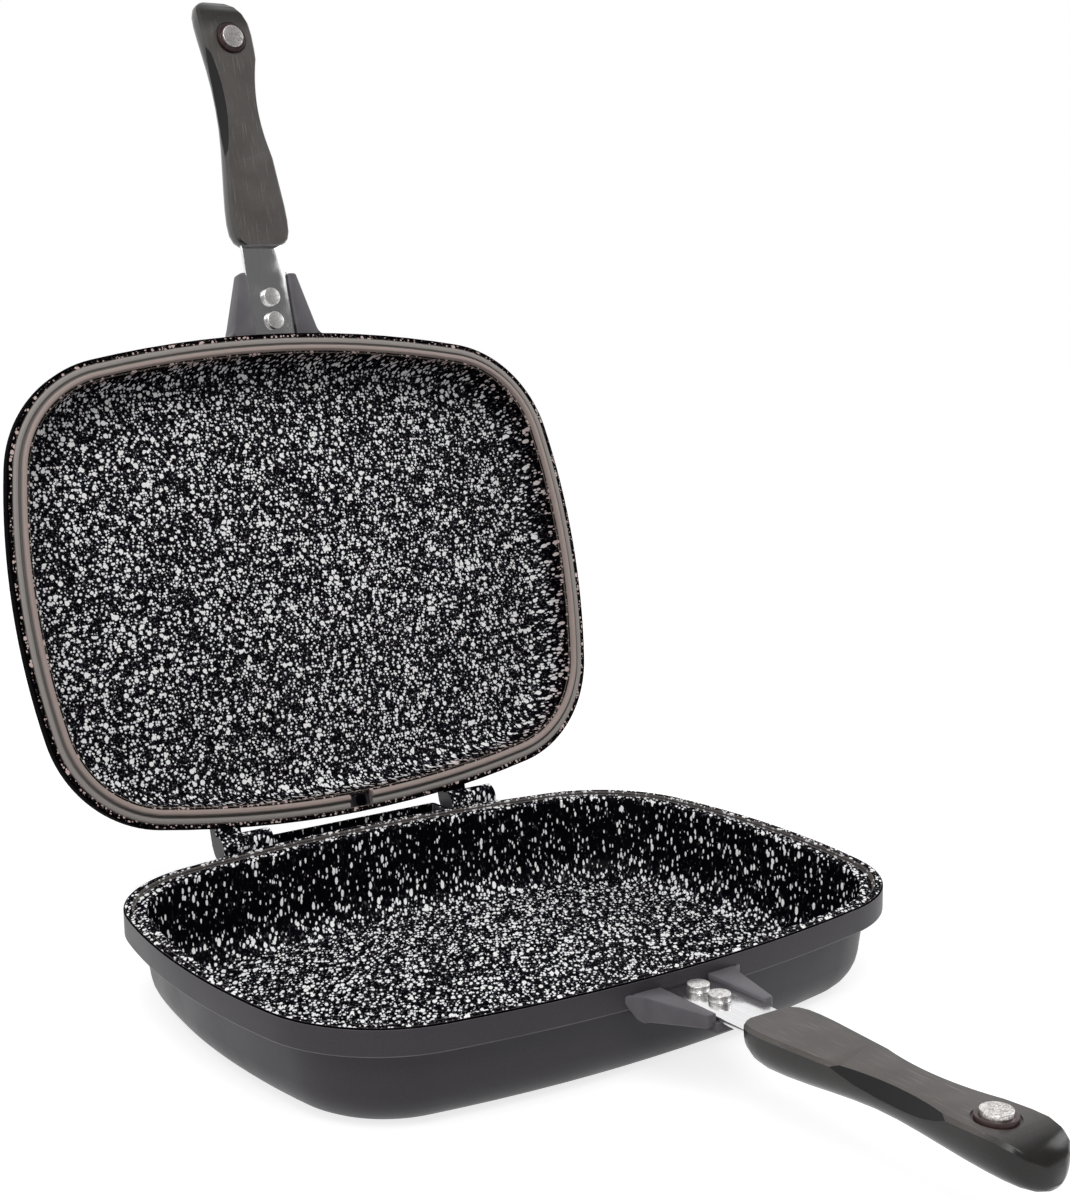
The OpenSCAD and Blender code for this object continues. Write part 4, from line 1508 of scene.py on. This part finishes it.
@dataclass
class Gasket:
    """The two-bead silicone strip that leaves a steam gap at the back.

    Attributes:
        pan: the pan that holds it.
        outer_rise: how far the outer bead stands out of the groove.
        inner_rise: how far the inner bead stands out of it.
        gap: width of the steam gap.
    """

    pan: UpperPan
    outer_rise: float = 0.7
    inner_rise: float = 2.2
    gap: float = 13.0

    def build(self) -> Object:
        """Sweeps the section from one side of the gap to the other and closes both ends."""
        pan, rim = self.pan, self.pan.rim
        near, top = pan.groove_in, pan.height
        low, far = top - pan.groove_h, near + pan.groove_w
        out, inn = self.outer_rise, self.inner_rise
        section = rounded([
            (near, low, 0.2), (far, low, 0.2), (far, top + 0.6, 0.5),
            (near + 5.9, top + inn, 0.7), (near + 4.2, top + inn, 0.7),
            (near + 3.5, top - 0.3, 0.4), (near + 2.8, top - 0.4, 0.3),
            (near + 2.3, top + 0.75 * out, 0.35), (near + 1.2, top + out, 0.9),
            (near, top + 0.3, 0.3)], closed=True)
        reach = rim.long_r - near - pan.groove_w / 2
        start = math.asin((pan.stop_x + self.gap / 2) / reach)
        end = math.asin((self.gap / 2 - pan.stop_x) / reach)
        strip = chain("gasket_strip", [rim.station(p.x, p.y, start) for p in section])
        with editing(strip):
            bpy.ops.mesh.select_all(action="SELECT")
            bpy.ops.mesh.edge_face_add()
            bpy.ops.mesh.delete(type="ONLY_FACE")
        rim.sweep(strip, start, end)
        with editing(strip):
            bpy.ops.mesh.select_mode(type=Pick.EDGES.value)
            bpy.ops.mesh.select_non_manifold()
            bpy.ops.mesh.fill_holes(sides=0)
        face_outwards(strip)
        self.note_beads_and_valley_shade(strip)
        return placed(strip, self.pan.hinge.opened @ self.pan.shut)

    def note_beads_and_valley_shade(self, strip: Object) -> None:
        """Notes which bead each point belongs to and which points lie deep in the valley, for its
        painted shade.

        Args:
            strip: the strip, standing with its beads upwards.
        """
        near, top = self.pan.groove_in, self.pan.height
        across = [self.pan.rim.inset(v.co.x, v.co.y) - near for v in strip.data.vertices]
        note(strip, "bead", "POINT", [min(max(a - 2.6, 0), 1) for a in across])
        # points low in the valley are marked for painted shade
        note(strip, "deep", "POINT", [
            float(2 < a < 4 and v.co.z < top + 0.2) for a, v in zip(across, strip.data.vertices)])


@dataclass
class Handle:
    """Strap, rivets, grip, collar and magnet of the lower handle."""

    strap_w: float = 23.0
    strap_t: float = 2.0
    strap_z: float = 40.1
    strap_start: float = 124.2
    tang_w: float = 11.0
    tang_end: float = 286.5
    socket_end: float = 187.0
    rivet_y: tuple[float, float] = (131.5, 144.0)
    rivet_r: float = 4.6
    rivet_h: float = 3.0
    shank_r: float = 2.5
    tail_r: float = 4.0
    tail_h: float = 1.5
    seat_t: float = 4.0
    grip_start: float = 171.0
    grip_l: float = 132.5
    half_w: float = 16.3
    depth: float = 17.3
    face_z: float = 43.7
    face_edge: float = 1.4
    tip_lean: float = 3.8
    lean_from: float = 0.62
    waist: float = 8.9
    scoop_r: float = 108.0
    scoop_lift: float = 49.0
    scoop_out: float = 74.0
    magnet: Vector = field(default_factory=lambda: Vector((0, -281.0, 42.8)))
    magnet_r: float = 5.8
    magnet_t: float = 4.0
    collar_r: float = 7.55
    collar_base: float = 42.0
    collar_top: float = 44.9
    moat_r: float = 8.55
    moat_depth: float = 0.8
    matt_until: float = -285.0
    matt_fade: float = 9.0

    # share of the length, of the half width, of the depth down to the back and to the face
    STATIONS = (
        (0, 0.6, 0.55, 0), (0.008, 0.77, 0.7, 0), (0.025, 0.9, 0.84, 0), (0.055, 0.98, 0.95, 0),
        (0.1, 1, 1, 0), (0.16, 0.98, 0.99, 0), (0.24, 0.92, 0.95, 0), (0.32, 0.86, 0.89, 0),
        (0.4, 0.8, 0.84, 0), (0.48, 0.765, 0.81, 0), (0.56, 0.76, 0.82, 0),
        (0.64, 0.78, 0.86, 0), (0.72, 0.82, 0.92, 0), (0.79, 0.86, 0.98, 0),
        (0.85, 0.88, 1.03, 0), (0.9, 0.87, 1.07, 0.02), (0.94, 0.81, 1.09, 0.1),
        (0.97, 0.68, 1.08, 0.22), (0.989, 0.47, 1.03, 0.36), (1, 0.22, 0.91, 0.54),
    )

    def strap_outline(self, slack: float = 0.0) -> list[Vector]:
        """Plan of the strap and its tang.

        Args:
            slack: how far the outline is let out.

        Returns:
            The corners.
        """
        wide, slim = self.strap_w / 2 + slack, self.tang_w / 2 + slack
        neck, end = self.socket_end + 6, self.tang_end + slack
        half = [(wide, self.strap_start), (wide, self.socket_end), (slim, neck), (slim, end)]
        plan = half + [(-x, y) for x, y in reversed(half)]
        return [Vector((x, -y, self.strap_z - self.strap_t - slack)) for x, y in plan]

    def strap(self) -> Object:
        """Models the strap as an extruded outline with rolled edges."""
        strap = prism("lower_strap_steel", self.strap_outline(), Vector((0, 0, self.strap_t)))
        soften(strap, 0.35, 3)
        return strap

    def rivet(self) -> Object:
        """Models the rivet nearer to the pan, with its formed tail."""
        y, base = self.rivet_y[0], self.strap_z - self.strap_t - self.seat_t
        head = rod("lower_rivet_head_inner", Vector((0, -y, self.strap_z)),
                   Vector((0, -y, self.strap_z + self.rivet_h)), self.rivet_r)
        soften(head, 0.4, 3)
        shank = rod("shank", Vector((0, -y, base)), Vector((0, -y, self.strap_z + 1)), self.shank_r)
        tail = rod("tail", Vector((0, -y, base - self.tail_h)), Vector((0, -y, base + WELD)),
                   self.tail_r)
        soften(tail, 0.5, 2)
        work_in(head, Join.FUSE, shank, tail)
        return head

    def section(self, station: tuple[float, float, float, float]) -> list[Vector]:
        """One closed section of the grip, flat on its face with a full back.

        Args:
            station: a row of STATIONS.

        Returns:
            The section's points, from one edge of the face round the back to the other.
        """
        share, wide, down, fallen = station
        steps, power = 9, 0.8
        lean = max(share - self.lean_from, 0) / (1 - self.lean_from)
        mid, y = self.tip_lean * lean ** 2, -self.grip_start - self.grip_l * share
        width, face = self.half_w * wide, self.face_z - self.depth * fallen
        back = self.face_z - self.depth * down
        edge = min(self.face_edge, (face - back) / 3)
        points = [Vector((mid + width - edge, y, face))]
        for i in range(2 * steps + 1):
            turn = math.pi / 2 * i / steps
            x = math.copysign(abs(math.cos(turn)) ** power, math.cos(turn))
            z = max(math.sin(turn), 0) ** power
            points.append(Vector((mid + width * x, y, face - edge - (face - edge - back) * z)))
        points.append(Vector((mid - width + edge, y, face)))
        return points

    def blank(self) -> Object:
        """Extrudes the section from station to station and lays each ring to its shape."""
        rings = [self.section(station) for station in self.STATIONS]
        grip = chain("lower_grip_moulding", rings[0])
        with editing(grip):
            bpy.ops.mesh.select_all(action="SELECT")
            bpy.ops.mesh.edge_face_add()
            for last, ring in zip(rings, rings[1:]):
                bpy.ops.mesh.extrude_region_move(
                    TRANSFORM_OT_translate={"value": (0, ring[0].y - last[0].y, 0)})
                mesh = bmesh.from_edit_mesh(grip.data)
                for vertex in [v for v in mesh.verts if v.select]:
                    away = [(vertex.co.xz - point.xz).length for point in last]
                    vertex.co = ring[away.index(min(away))]
                bmesh.update_edit_mesh(grip.data)
        face_outwards(grip)
        return grip

    def grip(self) -> Object:
        """Carves the scoops, the moat, the collar's pocket and the tang's socket into the blank."""
        grip = self.blank()
        for centre in self.scoops:
            bpy.ops.object.select_all(action="DESELECT")
            bpy.ops.mesh.primitive_uv_sphere_add(
                segments=288, ring_count=144, radius=self.scoop_r, location=centre)
            work_in(grip, Join.CARVE, named("scoop"))
        soften(grip, 0.45, 2, lambda p, d: self.on_scoop(p), sharp=12)
        above = Vector((0, 0, self.magnet_t))
        moat = Vector((self.magnet.x, self.magnet.y, self.face_z - self.moat_depth))
        work_in(grip, Join.CARVE, rod("moat", moat, moat + above, self.moat_r, 72))
        pocket = Vector((self.magnet.x, self.magnet.y, self.collar_base))
        work_in(grip, Join.CARVE, rod("pocket", pocket, pocket + above, self.collar_r + 0.05, 72))
        work_in(grip, Join.CARVE, prism("socket", self.strap_outline(0.05),
                                        Vector((0, 0, self.strap_t + 0.1))))
        self.polish(grip)
        return grip

    @property
    def scoops(self) -> list[Vector]:
        """Centres of the two balls that the finger recesses are part of."""
        reach = math.sqrt(self.scoop_r ** 2 - self.scoop_lift ** 2)
        return [Vector((side * (self.waist + reach), -self.grip_start - self.scoop_out,
                        self.face_z + self.scoop_lift)) for side in (-1, 1)]

    def on_scoop(self, place: Vector, slack: float = 0.06) -> bool:
        """Tells whether a place lies on the wall of a recess."""
        return any(abs((place - c).length - self.scoop_r) < slack for c in self.scoops)

    def polish(self, grip: Object) -> None:
        """Notes the flat face drawn lighter with painted light, the painted shade in the recesses
        and on the tip, and the recesses' edges drawn lighter from rubbing and as a painted highlight.

        Args:
            grip: the finished moulding.
        """
        matt_face_painted_light, wear_and_painted_light, hollow = [], [], []
        for face, width in zip(grip.data.polygons, widths(grip)):
            carved = all(self.on_scoop(grip.data.vertices[i].co) for i in face.vertices)
            scooped = carved and face.normal.z < 0.8
            flat = face.normal.z > 0.6 and face.center.z > self.face_z - self.depth / 2
            # narrow faces along the recesses' edges are drawn lighter, partly from rubbing and partly
            # as a painted highlight
            wear_and_painted_light.append(float(width < NARROW and not scooped and self.on_scoop(face.center, 0.5)))
            # past the magnet the flat face's lighter grey fades out and the sloping tip takes a faint
            # painted shade; the recesses take it in full
            for corner in face.vertices:
                past = (self.matt_until - grip.data.vertices[corner].co.y) / self.matt_fade
                past = min(max(past, 0), 1)
                matt_face_painted_light.append((1 - past) * (flat and not scooped))
                hollow.append(1.0 if scooped else 0.35 * past)
        note(grip, "matt_face_painted_light", "CORNER", matt_face_painted_light)
        note(grip, "wear_and_painted_light", "FACE", wear_and_painted_light)
        note(grip, "hollow", "CORNER", hollow)

    def collar(self) -> Object:
        """Models the collar as a cup with a rounded rim."""
        base = Vector((self.magnet.x, self.magnet.y, self.collar_base))
        top = Vector((base.x, base.y, self.collar_top))
        collar = rod("lower_collar_cup", base, top, self.collar_r, 72)
        with editing(collar):
            pick(Pick.FACES, lambda p, n: n.z > 0.9)
            bpy.ops.mesh.inset(thickness=self.collar_r - self.magnet_r - 0.05)
            bpy.ops.mesh.extrude_region_move(
                TRANSFORM_OT_translate={"value": (0, 0, self.magnet.z - self.collar_top)})
        soften(collar, 0.2, 2, lambda p, d: p.z > self.collar_top - 0.01)
        return collar

    def disc(self) -> Object:
        """Models the magnet as a disc with rounded edges."""
        top = self.magnet + Vector((0, 0, self.magnet_t))
        disc = rod("lower_magnet_disc", self.magnet, top, self.magnet_r, 72)
        soften(disc, 0.35, 3)
        return disc


@dataclass(frozen=True)
class Softbox:
    """A square lamp that looks at the middle of the object.

    Attributes:
        name: where it stands.
        place: its middle, in metres.
        size: its width, in metres.
        power: its power, in watts.
    """

    name: str
    place: Point
    size: float
    power: float

    def light(self, target: Vector) -> None:
        """Adds the lamp and turns it to the target."""
        lamp = bpy.data.lights.new(self.name, "AREA")
        lamp.shape = "SQUARE"
        lamp.size = self.size
        lamp.energy = self.power
        stand = bpy.data.objects.new(self.name, lamp)
        bpy.context.scene.collection.objects.link(stand)
        turn = (target - Vector(self.place)).to_track_quat("-Z", "Y").to_matrix().to_4x4()
        stand.matrix_world = Matrix.Translation(self.place) @ turn


@dataclass
class Studio:
    """Floor, light and camera.

    Attributes:
        target: where the lamps look, in metres.
        lamps: the lamps.
        soft: how strongly the white surroundings light the object.
        dark_side: the direction in which the surroundings are dimmer.
        darkest: the share of their light that is left there.
        azimuth: the camera's angle from the front, in degrees.
        elevation: its angle above the floor, in degrees.
        roll: how far it is rolled, in degrees.
        aim: what the camera looks at, in millimetres.
        distance: how far it stands from there, in millimetres.
        focal: focal length, in pixels of the photograph.
        picture: the photograph's width and height in pixels.
        middle: the pixel of the photograph that its lens looked at.
        sensor: width of the sensor, in millimetres.
    """

    target: Vector = field(default_factory=lambda: Vector((0, 0, 0.15)))
    lamps: tuple[Softbox, ...] = (
        Softbox("softbox over the camera", (-0.7, -1.1, 1.8), 1.2, 23.0),
        Softbox("softbox on the right", (1.6, -0.6, 0.9), 0.9, 7.0),
    )
    soft: float = 0.68
    dark_side: Point = (0.3, -0.95, 0.1)
    darkest: float = 0.15
    azimuth: float = -34.36
    elevation: float = 9.36
    roll: float = -0.89
    aim: Vector = field(default_factory=lambda: Vector((10.87, 18.0, 181.83)))
    distance: float = 843.87
    focal: float = 1886.1
    picture: tuple[int, int] = (1070, 1200)
    middle: tuple[float, float] = (499.49, 582.46)
    sensor: float = 36.0

    def build(self) -> None:
        """Sets the floor, the lamps, the world and the camera."""
        bpy.ops.object.select_all(action="DESELECT")
        bpy.ops.mesh.primitive_plane_add(size=8)
        floor = named("studio_floor")
        floor.data.materials.append(SeamlessPaper("white seamless paper").material())
        for lamp in self.lamps:
            lamp.light(self.target)
        self.surroundings()
        bpy.context.scene.view_settings.view_transform = "Standard"
        self.camera()

    def surroundings(self) -> None:
        """Makes the world: white behind the object and dimmer on the camera's side."""
        world = bpy.context.scene.world or bpy.data.worlds.new("studio")
        bpy.context.scene.world = world
        world.use_nodes = True
        tree = world.node_tree
        tree.nodes.clear()
        way = add_node(tree, "ShaderNodeTexCoord").outputs["Generated"]
        side = add_node(tree, "ShaderNodeVectorMath", {
            0: way, 1: self.dark_side}, operation="DOT_PRODUCT")
        room = add_node(tree, "ShaderNodeMapRange", {
            "Value": side, "From Min": 0.0, "From Max": 0.8,
            "To Min": 1.0, "To Max": self.darkest})
        camera = add_node(tree, "ShaderNodeLightPath").outputs["Is Camera Ray"]
        level = add_node(tree, "ShaderNodeMath", {0: room, 1: camera}, operation="MAXIMUM")
        share = add_node(tree, "ShaderNodeMapRange", {
            "Value": seen_directly(tree), "To Min": self.soft, "To Max": 1.0})
        strength = add_node(tree, "ShaderNodeMath", {0: level, 1: share}, operation="MULTIPLY")
        light = add_node(tree, "ShaderNodeBackground", {
            "Color": (1, 1, 1, 1), "Strength": strength})
        add_node(tree, "ShaderNodeOutputWorld", {"Surface": light})

    def camera(self) -> None:
        """Places the camera where the photograph was taken from."""
        azimuth, elevation, roll = map(math.radians, (self.azimuth, self.elevation, self.roll))
        width, height = self.picture
        back = Vector((math.sin(azimuth) * math.cos(elevation),
                       -math.cos(azimuth) * math.cos(elevation), math.sin(elevation)))
        right = Vector((math.cos(azimuth), math.sin(azimuth), 0))
        up = back.cross(right)
        turn = Matrix((right, up, back)).transposed()
        turn = turn @ Matrix.Rotation(roll, 3, "Z")
        lens = bpy.data.cameras.new("photo_camera")
        lens.sensor_width = self.sensor
        lens.lens = self.focal * self.sensor / height
        lens.shift_x = (width / 2 - self.middle[0]) / height
        lens.shift_y = (self.middle[1] - height / 2) / height
        lens.clip_start = 0.01
        camera = bpy.data.objects.new("photo_camera", lens)
        bpy.context.scene.collection.objects.link(camera)
        place = (self.aim + self.distance * back) * 0.001
        camera.matrix_world = Matrix.Translation(place) @ turn.to_4x4()
        bpy.context.scene.camera = camera


@dataclass(frozen=True)
class Dressing:
    """Tells a casting's coated faces from its painted ones and says how dense the flakes lie.

    Attributes:
        rim: the rim's outline.
        walls: the wall sizes.
        back: takes a point to where the pan stands on its base.
        height: height of the lip above the base.
        band_h: height of the rim's band.
        wall_spray: how dense the flakes lie half way up the wall.
        lip_spray: how dense they lie on the lip.
        lip_warmth: how reddish the coat is at the lip, where it has baked longest.
        painted_shade_band: whether the coat, black without flakes, goes round the outside of the band
            as painted shade.
        stop: the stretch across the pan that holds the gasket's end stop.
        channel: the stretch across the pan that holds the drip channel.
        bend: how far up from the floor the coat thins out.
        lip_h: how far below its top a face still counts as the lip.
        edge_w: width of the outer edge of the lip, which is black.
        hinge_spray: how dense the flakes lie on the hinge.
        channel_spray: how dense they lie on the drip channel.
        no_flakes: the density at which no flake shows.
    """

    rim: Rim
    walls: Walls
    back: Matrix
    height: float
    band_h: float
    wall_spray: float
    lip_spray: float
    lip_warmth: float
    painted_shade_band: bool = False
    stop: tuple[float, float] = (0.0, 0.0)
    channel: tuple[float, float] = (-52.0, 50.0)
    bend: float = 12.0
    lip_h: float = 2.4
    edge_w: float = 0.8
    hinge_spray: float = 0.95
    channel_spray: float = 0.3
    no_flakes: float = -1.3

    def dense(self, place: Vector) -> float:
        """How dense the flakes lie at a place inside the pan."""
        up = (place.z - self.walls.floor_t - 1) / self.bend
        return 1 + (self.wall_spray - 1) * min(max(up, 0), 1)

    def warmth(self, place: Vector) -> float:
        """How reddish the coat is at a place."""
        up = (place.z - self.height + self.bend) / (self.bend - self.lip_h)
        return self.lip_warmth * min(max(up, 0), 1)

    def dress(self, pan: Object) -> None:
        """Gives each face its material and each corner its coat.

        Args:
            pan: the casting, in millimetres.
        """
        turn = self.back.to_3x3()
        spray, warm, wear_and_painted_light = [], [], []
        for face, width in zip(pan.data.polygons, widths(pan)):
            p, n = self.back @ face.center, turn @ face.normal
            inset = self.rim.inset(p.x, p.y)
            middle = self.walls.outside(self.height - self.band_h, p.z) + self.walls.wall_t / 2
            inside = inset > middle and p.z > self.walls.floor_t - 0.2 and n.z > 0.02
            lip = p.z > self.height - self.lip_h and -0.1 < inset < 12 and n.z > 0.1
            hinge = p.y > 0 and inset < -0.3 and abs(n.x) < 0.7
            edge = lip and inset < self.edge_w * 0.9
            # the outside of the lid's band takes the black coat without flakes: painted shade
            band = self.painted_shade_band and p.z > self.height - self.band_h and abs(inset) < 1
            rib = p.y < 0 and inset < -0.3
            stop = self.stop[0] < p.x < self.stop[1] and p.y > 100 and p.z > self.height - 3
            face.material_index = int(inside or lip or hinge or band)
            # ribs take most of the lighter edge colour all over, painted light for their lit tops;
            # narrow faces take it in full, partly from rubbing and partly as a painted highlight
            narrow = width < NARROW and not edge and not band and not hinge
            wear_and_painted_light.append(1.0 if narrow else 0.9 * rib)
            for index in face.vertices:
                q = self.back @ pan.data.vertices[index].co
                if hinge and not band:
                    channel = self.channel[0] < p.x < self.channel[1]
                    spray.append(self.channel_spray if channel else self.hinge_spray)
                elif edge or band or stop:
                    spray.append(self.no_flakes)
                elif lip:
                    spray.append(self.lip_spray)
                else:
                    spray.append(self.dense(q))
                warm.append(0.0 if hinge or stop else self.warmth(q))
        note(pan, "spray", "CORNER", spray)
        note(pan, "warm", "CORNER", warm)
        note(pan, "wear_and_painted_light", "FACE", wear_and_painted_light)


def main() -> None:
    """Builds every piece, dresses it and sets the studio."""
    logging.basicConfig(level=logging.INFO, format="%(name)s %(message)s")
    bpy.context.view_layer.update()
    rim, walls, hinge = Rim(), Walls(), Hinge()

    coat = SprayedCoating("sprayed non-stick coating", swing=34.0, stroke=0.5,
                          big_pitch=2.6, small_pitch=1.4)
    lid_coat = SprayedCoating("sprayed non-stick coating of the lid", hinge.open_angle)
    paint = StovedPaint("stoved satin paint")
    rubber = MouldedSilicone("moulded silicone", hinge.open_angle)
    steel = DrawnMetal("polished stainless strip")
    alloy = MottledMetal("headed aluminium")
    phenolic = MouldedPhenolic("compression moulded phenolic")
    nylon = MouldedNylon("moulded nylon")
    nickel = MottledMetal("nickel plated magnet", dark="#a39d9b", light="#f3f0ee", mottle=1.6)
    ground = DrawnMetal("ground steel", stretch=(0.05, 2.0, 2.0))

    parts = Bracket(rim).parts()
    lid_parts = [copied(p, p.name + "_lid", hinge.rolled) for p in parts]
    pan = LowerPan(rim, walls, hinge)
    lower = pan.build(parts)
    Dressing(rim, walls, Matrix.Identity(4), pan.height, pan.band_h,
             wall_spray=0.35, lip_spray=0.95, lip_warmth=0.0).dress(lower)
    finish(lower, Body.LOWER, ["lower_pan"],
           [paint.material(), coat.material()])
    lid = UpperPan(rim, walls, hinge)
    upper = lid.build(lid_parts)
    Dressing(rim, walls, (hinge.opened @ lid.shut).inverted(), lid.height, lid.band_h,
             wall_spray=0.8, lip_spray=0.8, lip_warmth=1.0, painted_shade_band=True,
             stop=(-1.5, 4.7)).dress(upper)
    angle = hinge.open_angle
    finish(upper, Body.UPPER, ["upper_pan"],
           [paint.on_lid(angle).material(), lid_coat.material()])
    finish(Gasket(lid).build(), Body.UPPER, ["gasket"], [rubber.material()])

    handle = Handle()
    rivet = handle.rivet()
    step = Matrix.Translation((0, handle.rivet_y[0] - handle.rivet_y[1], 0))
    pieces = [
        (handle.strap(), "strap_steel", "strap", steel),
        (rivet, "rivet_metal", "rivet_inner", alloy),
        (copied(rivet, "lower_rivet_head_outer", step), "rivet_metal", "rivet_outer", alloy),
        (handle.grip(), "phenolic", "grip", phenolic),
        (handle.collar(), "collar_plastic", "magnet_collar", nylon),
        (handle.disc(), "magnet_plating", "magnet", nickel),
    ]
    for piece, slot, node, look in pieces:
        twin = copied(piece, piece.name.replace("lower", "upper"), hinge.rolled)
        finish(piece, Body.LOWER, [f"lower_{node}"], [look.material()])
        finish(twin, Body.UPPER, [f"upper_{node}"], [look.on_lid(angle).material()])
    for name in ("hinge_pin_left", "hinge_pin_right", "lower_grip_screw", "upper_grip_screw"):
        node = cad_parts[name]
        node.data.materials.clear()
        node.data.materials.append(ground.material())
        LOG.info("%s: given %s", name, ground.name)

    Studio().build()


if __name__ == "__main__":
    main()
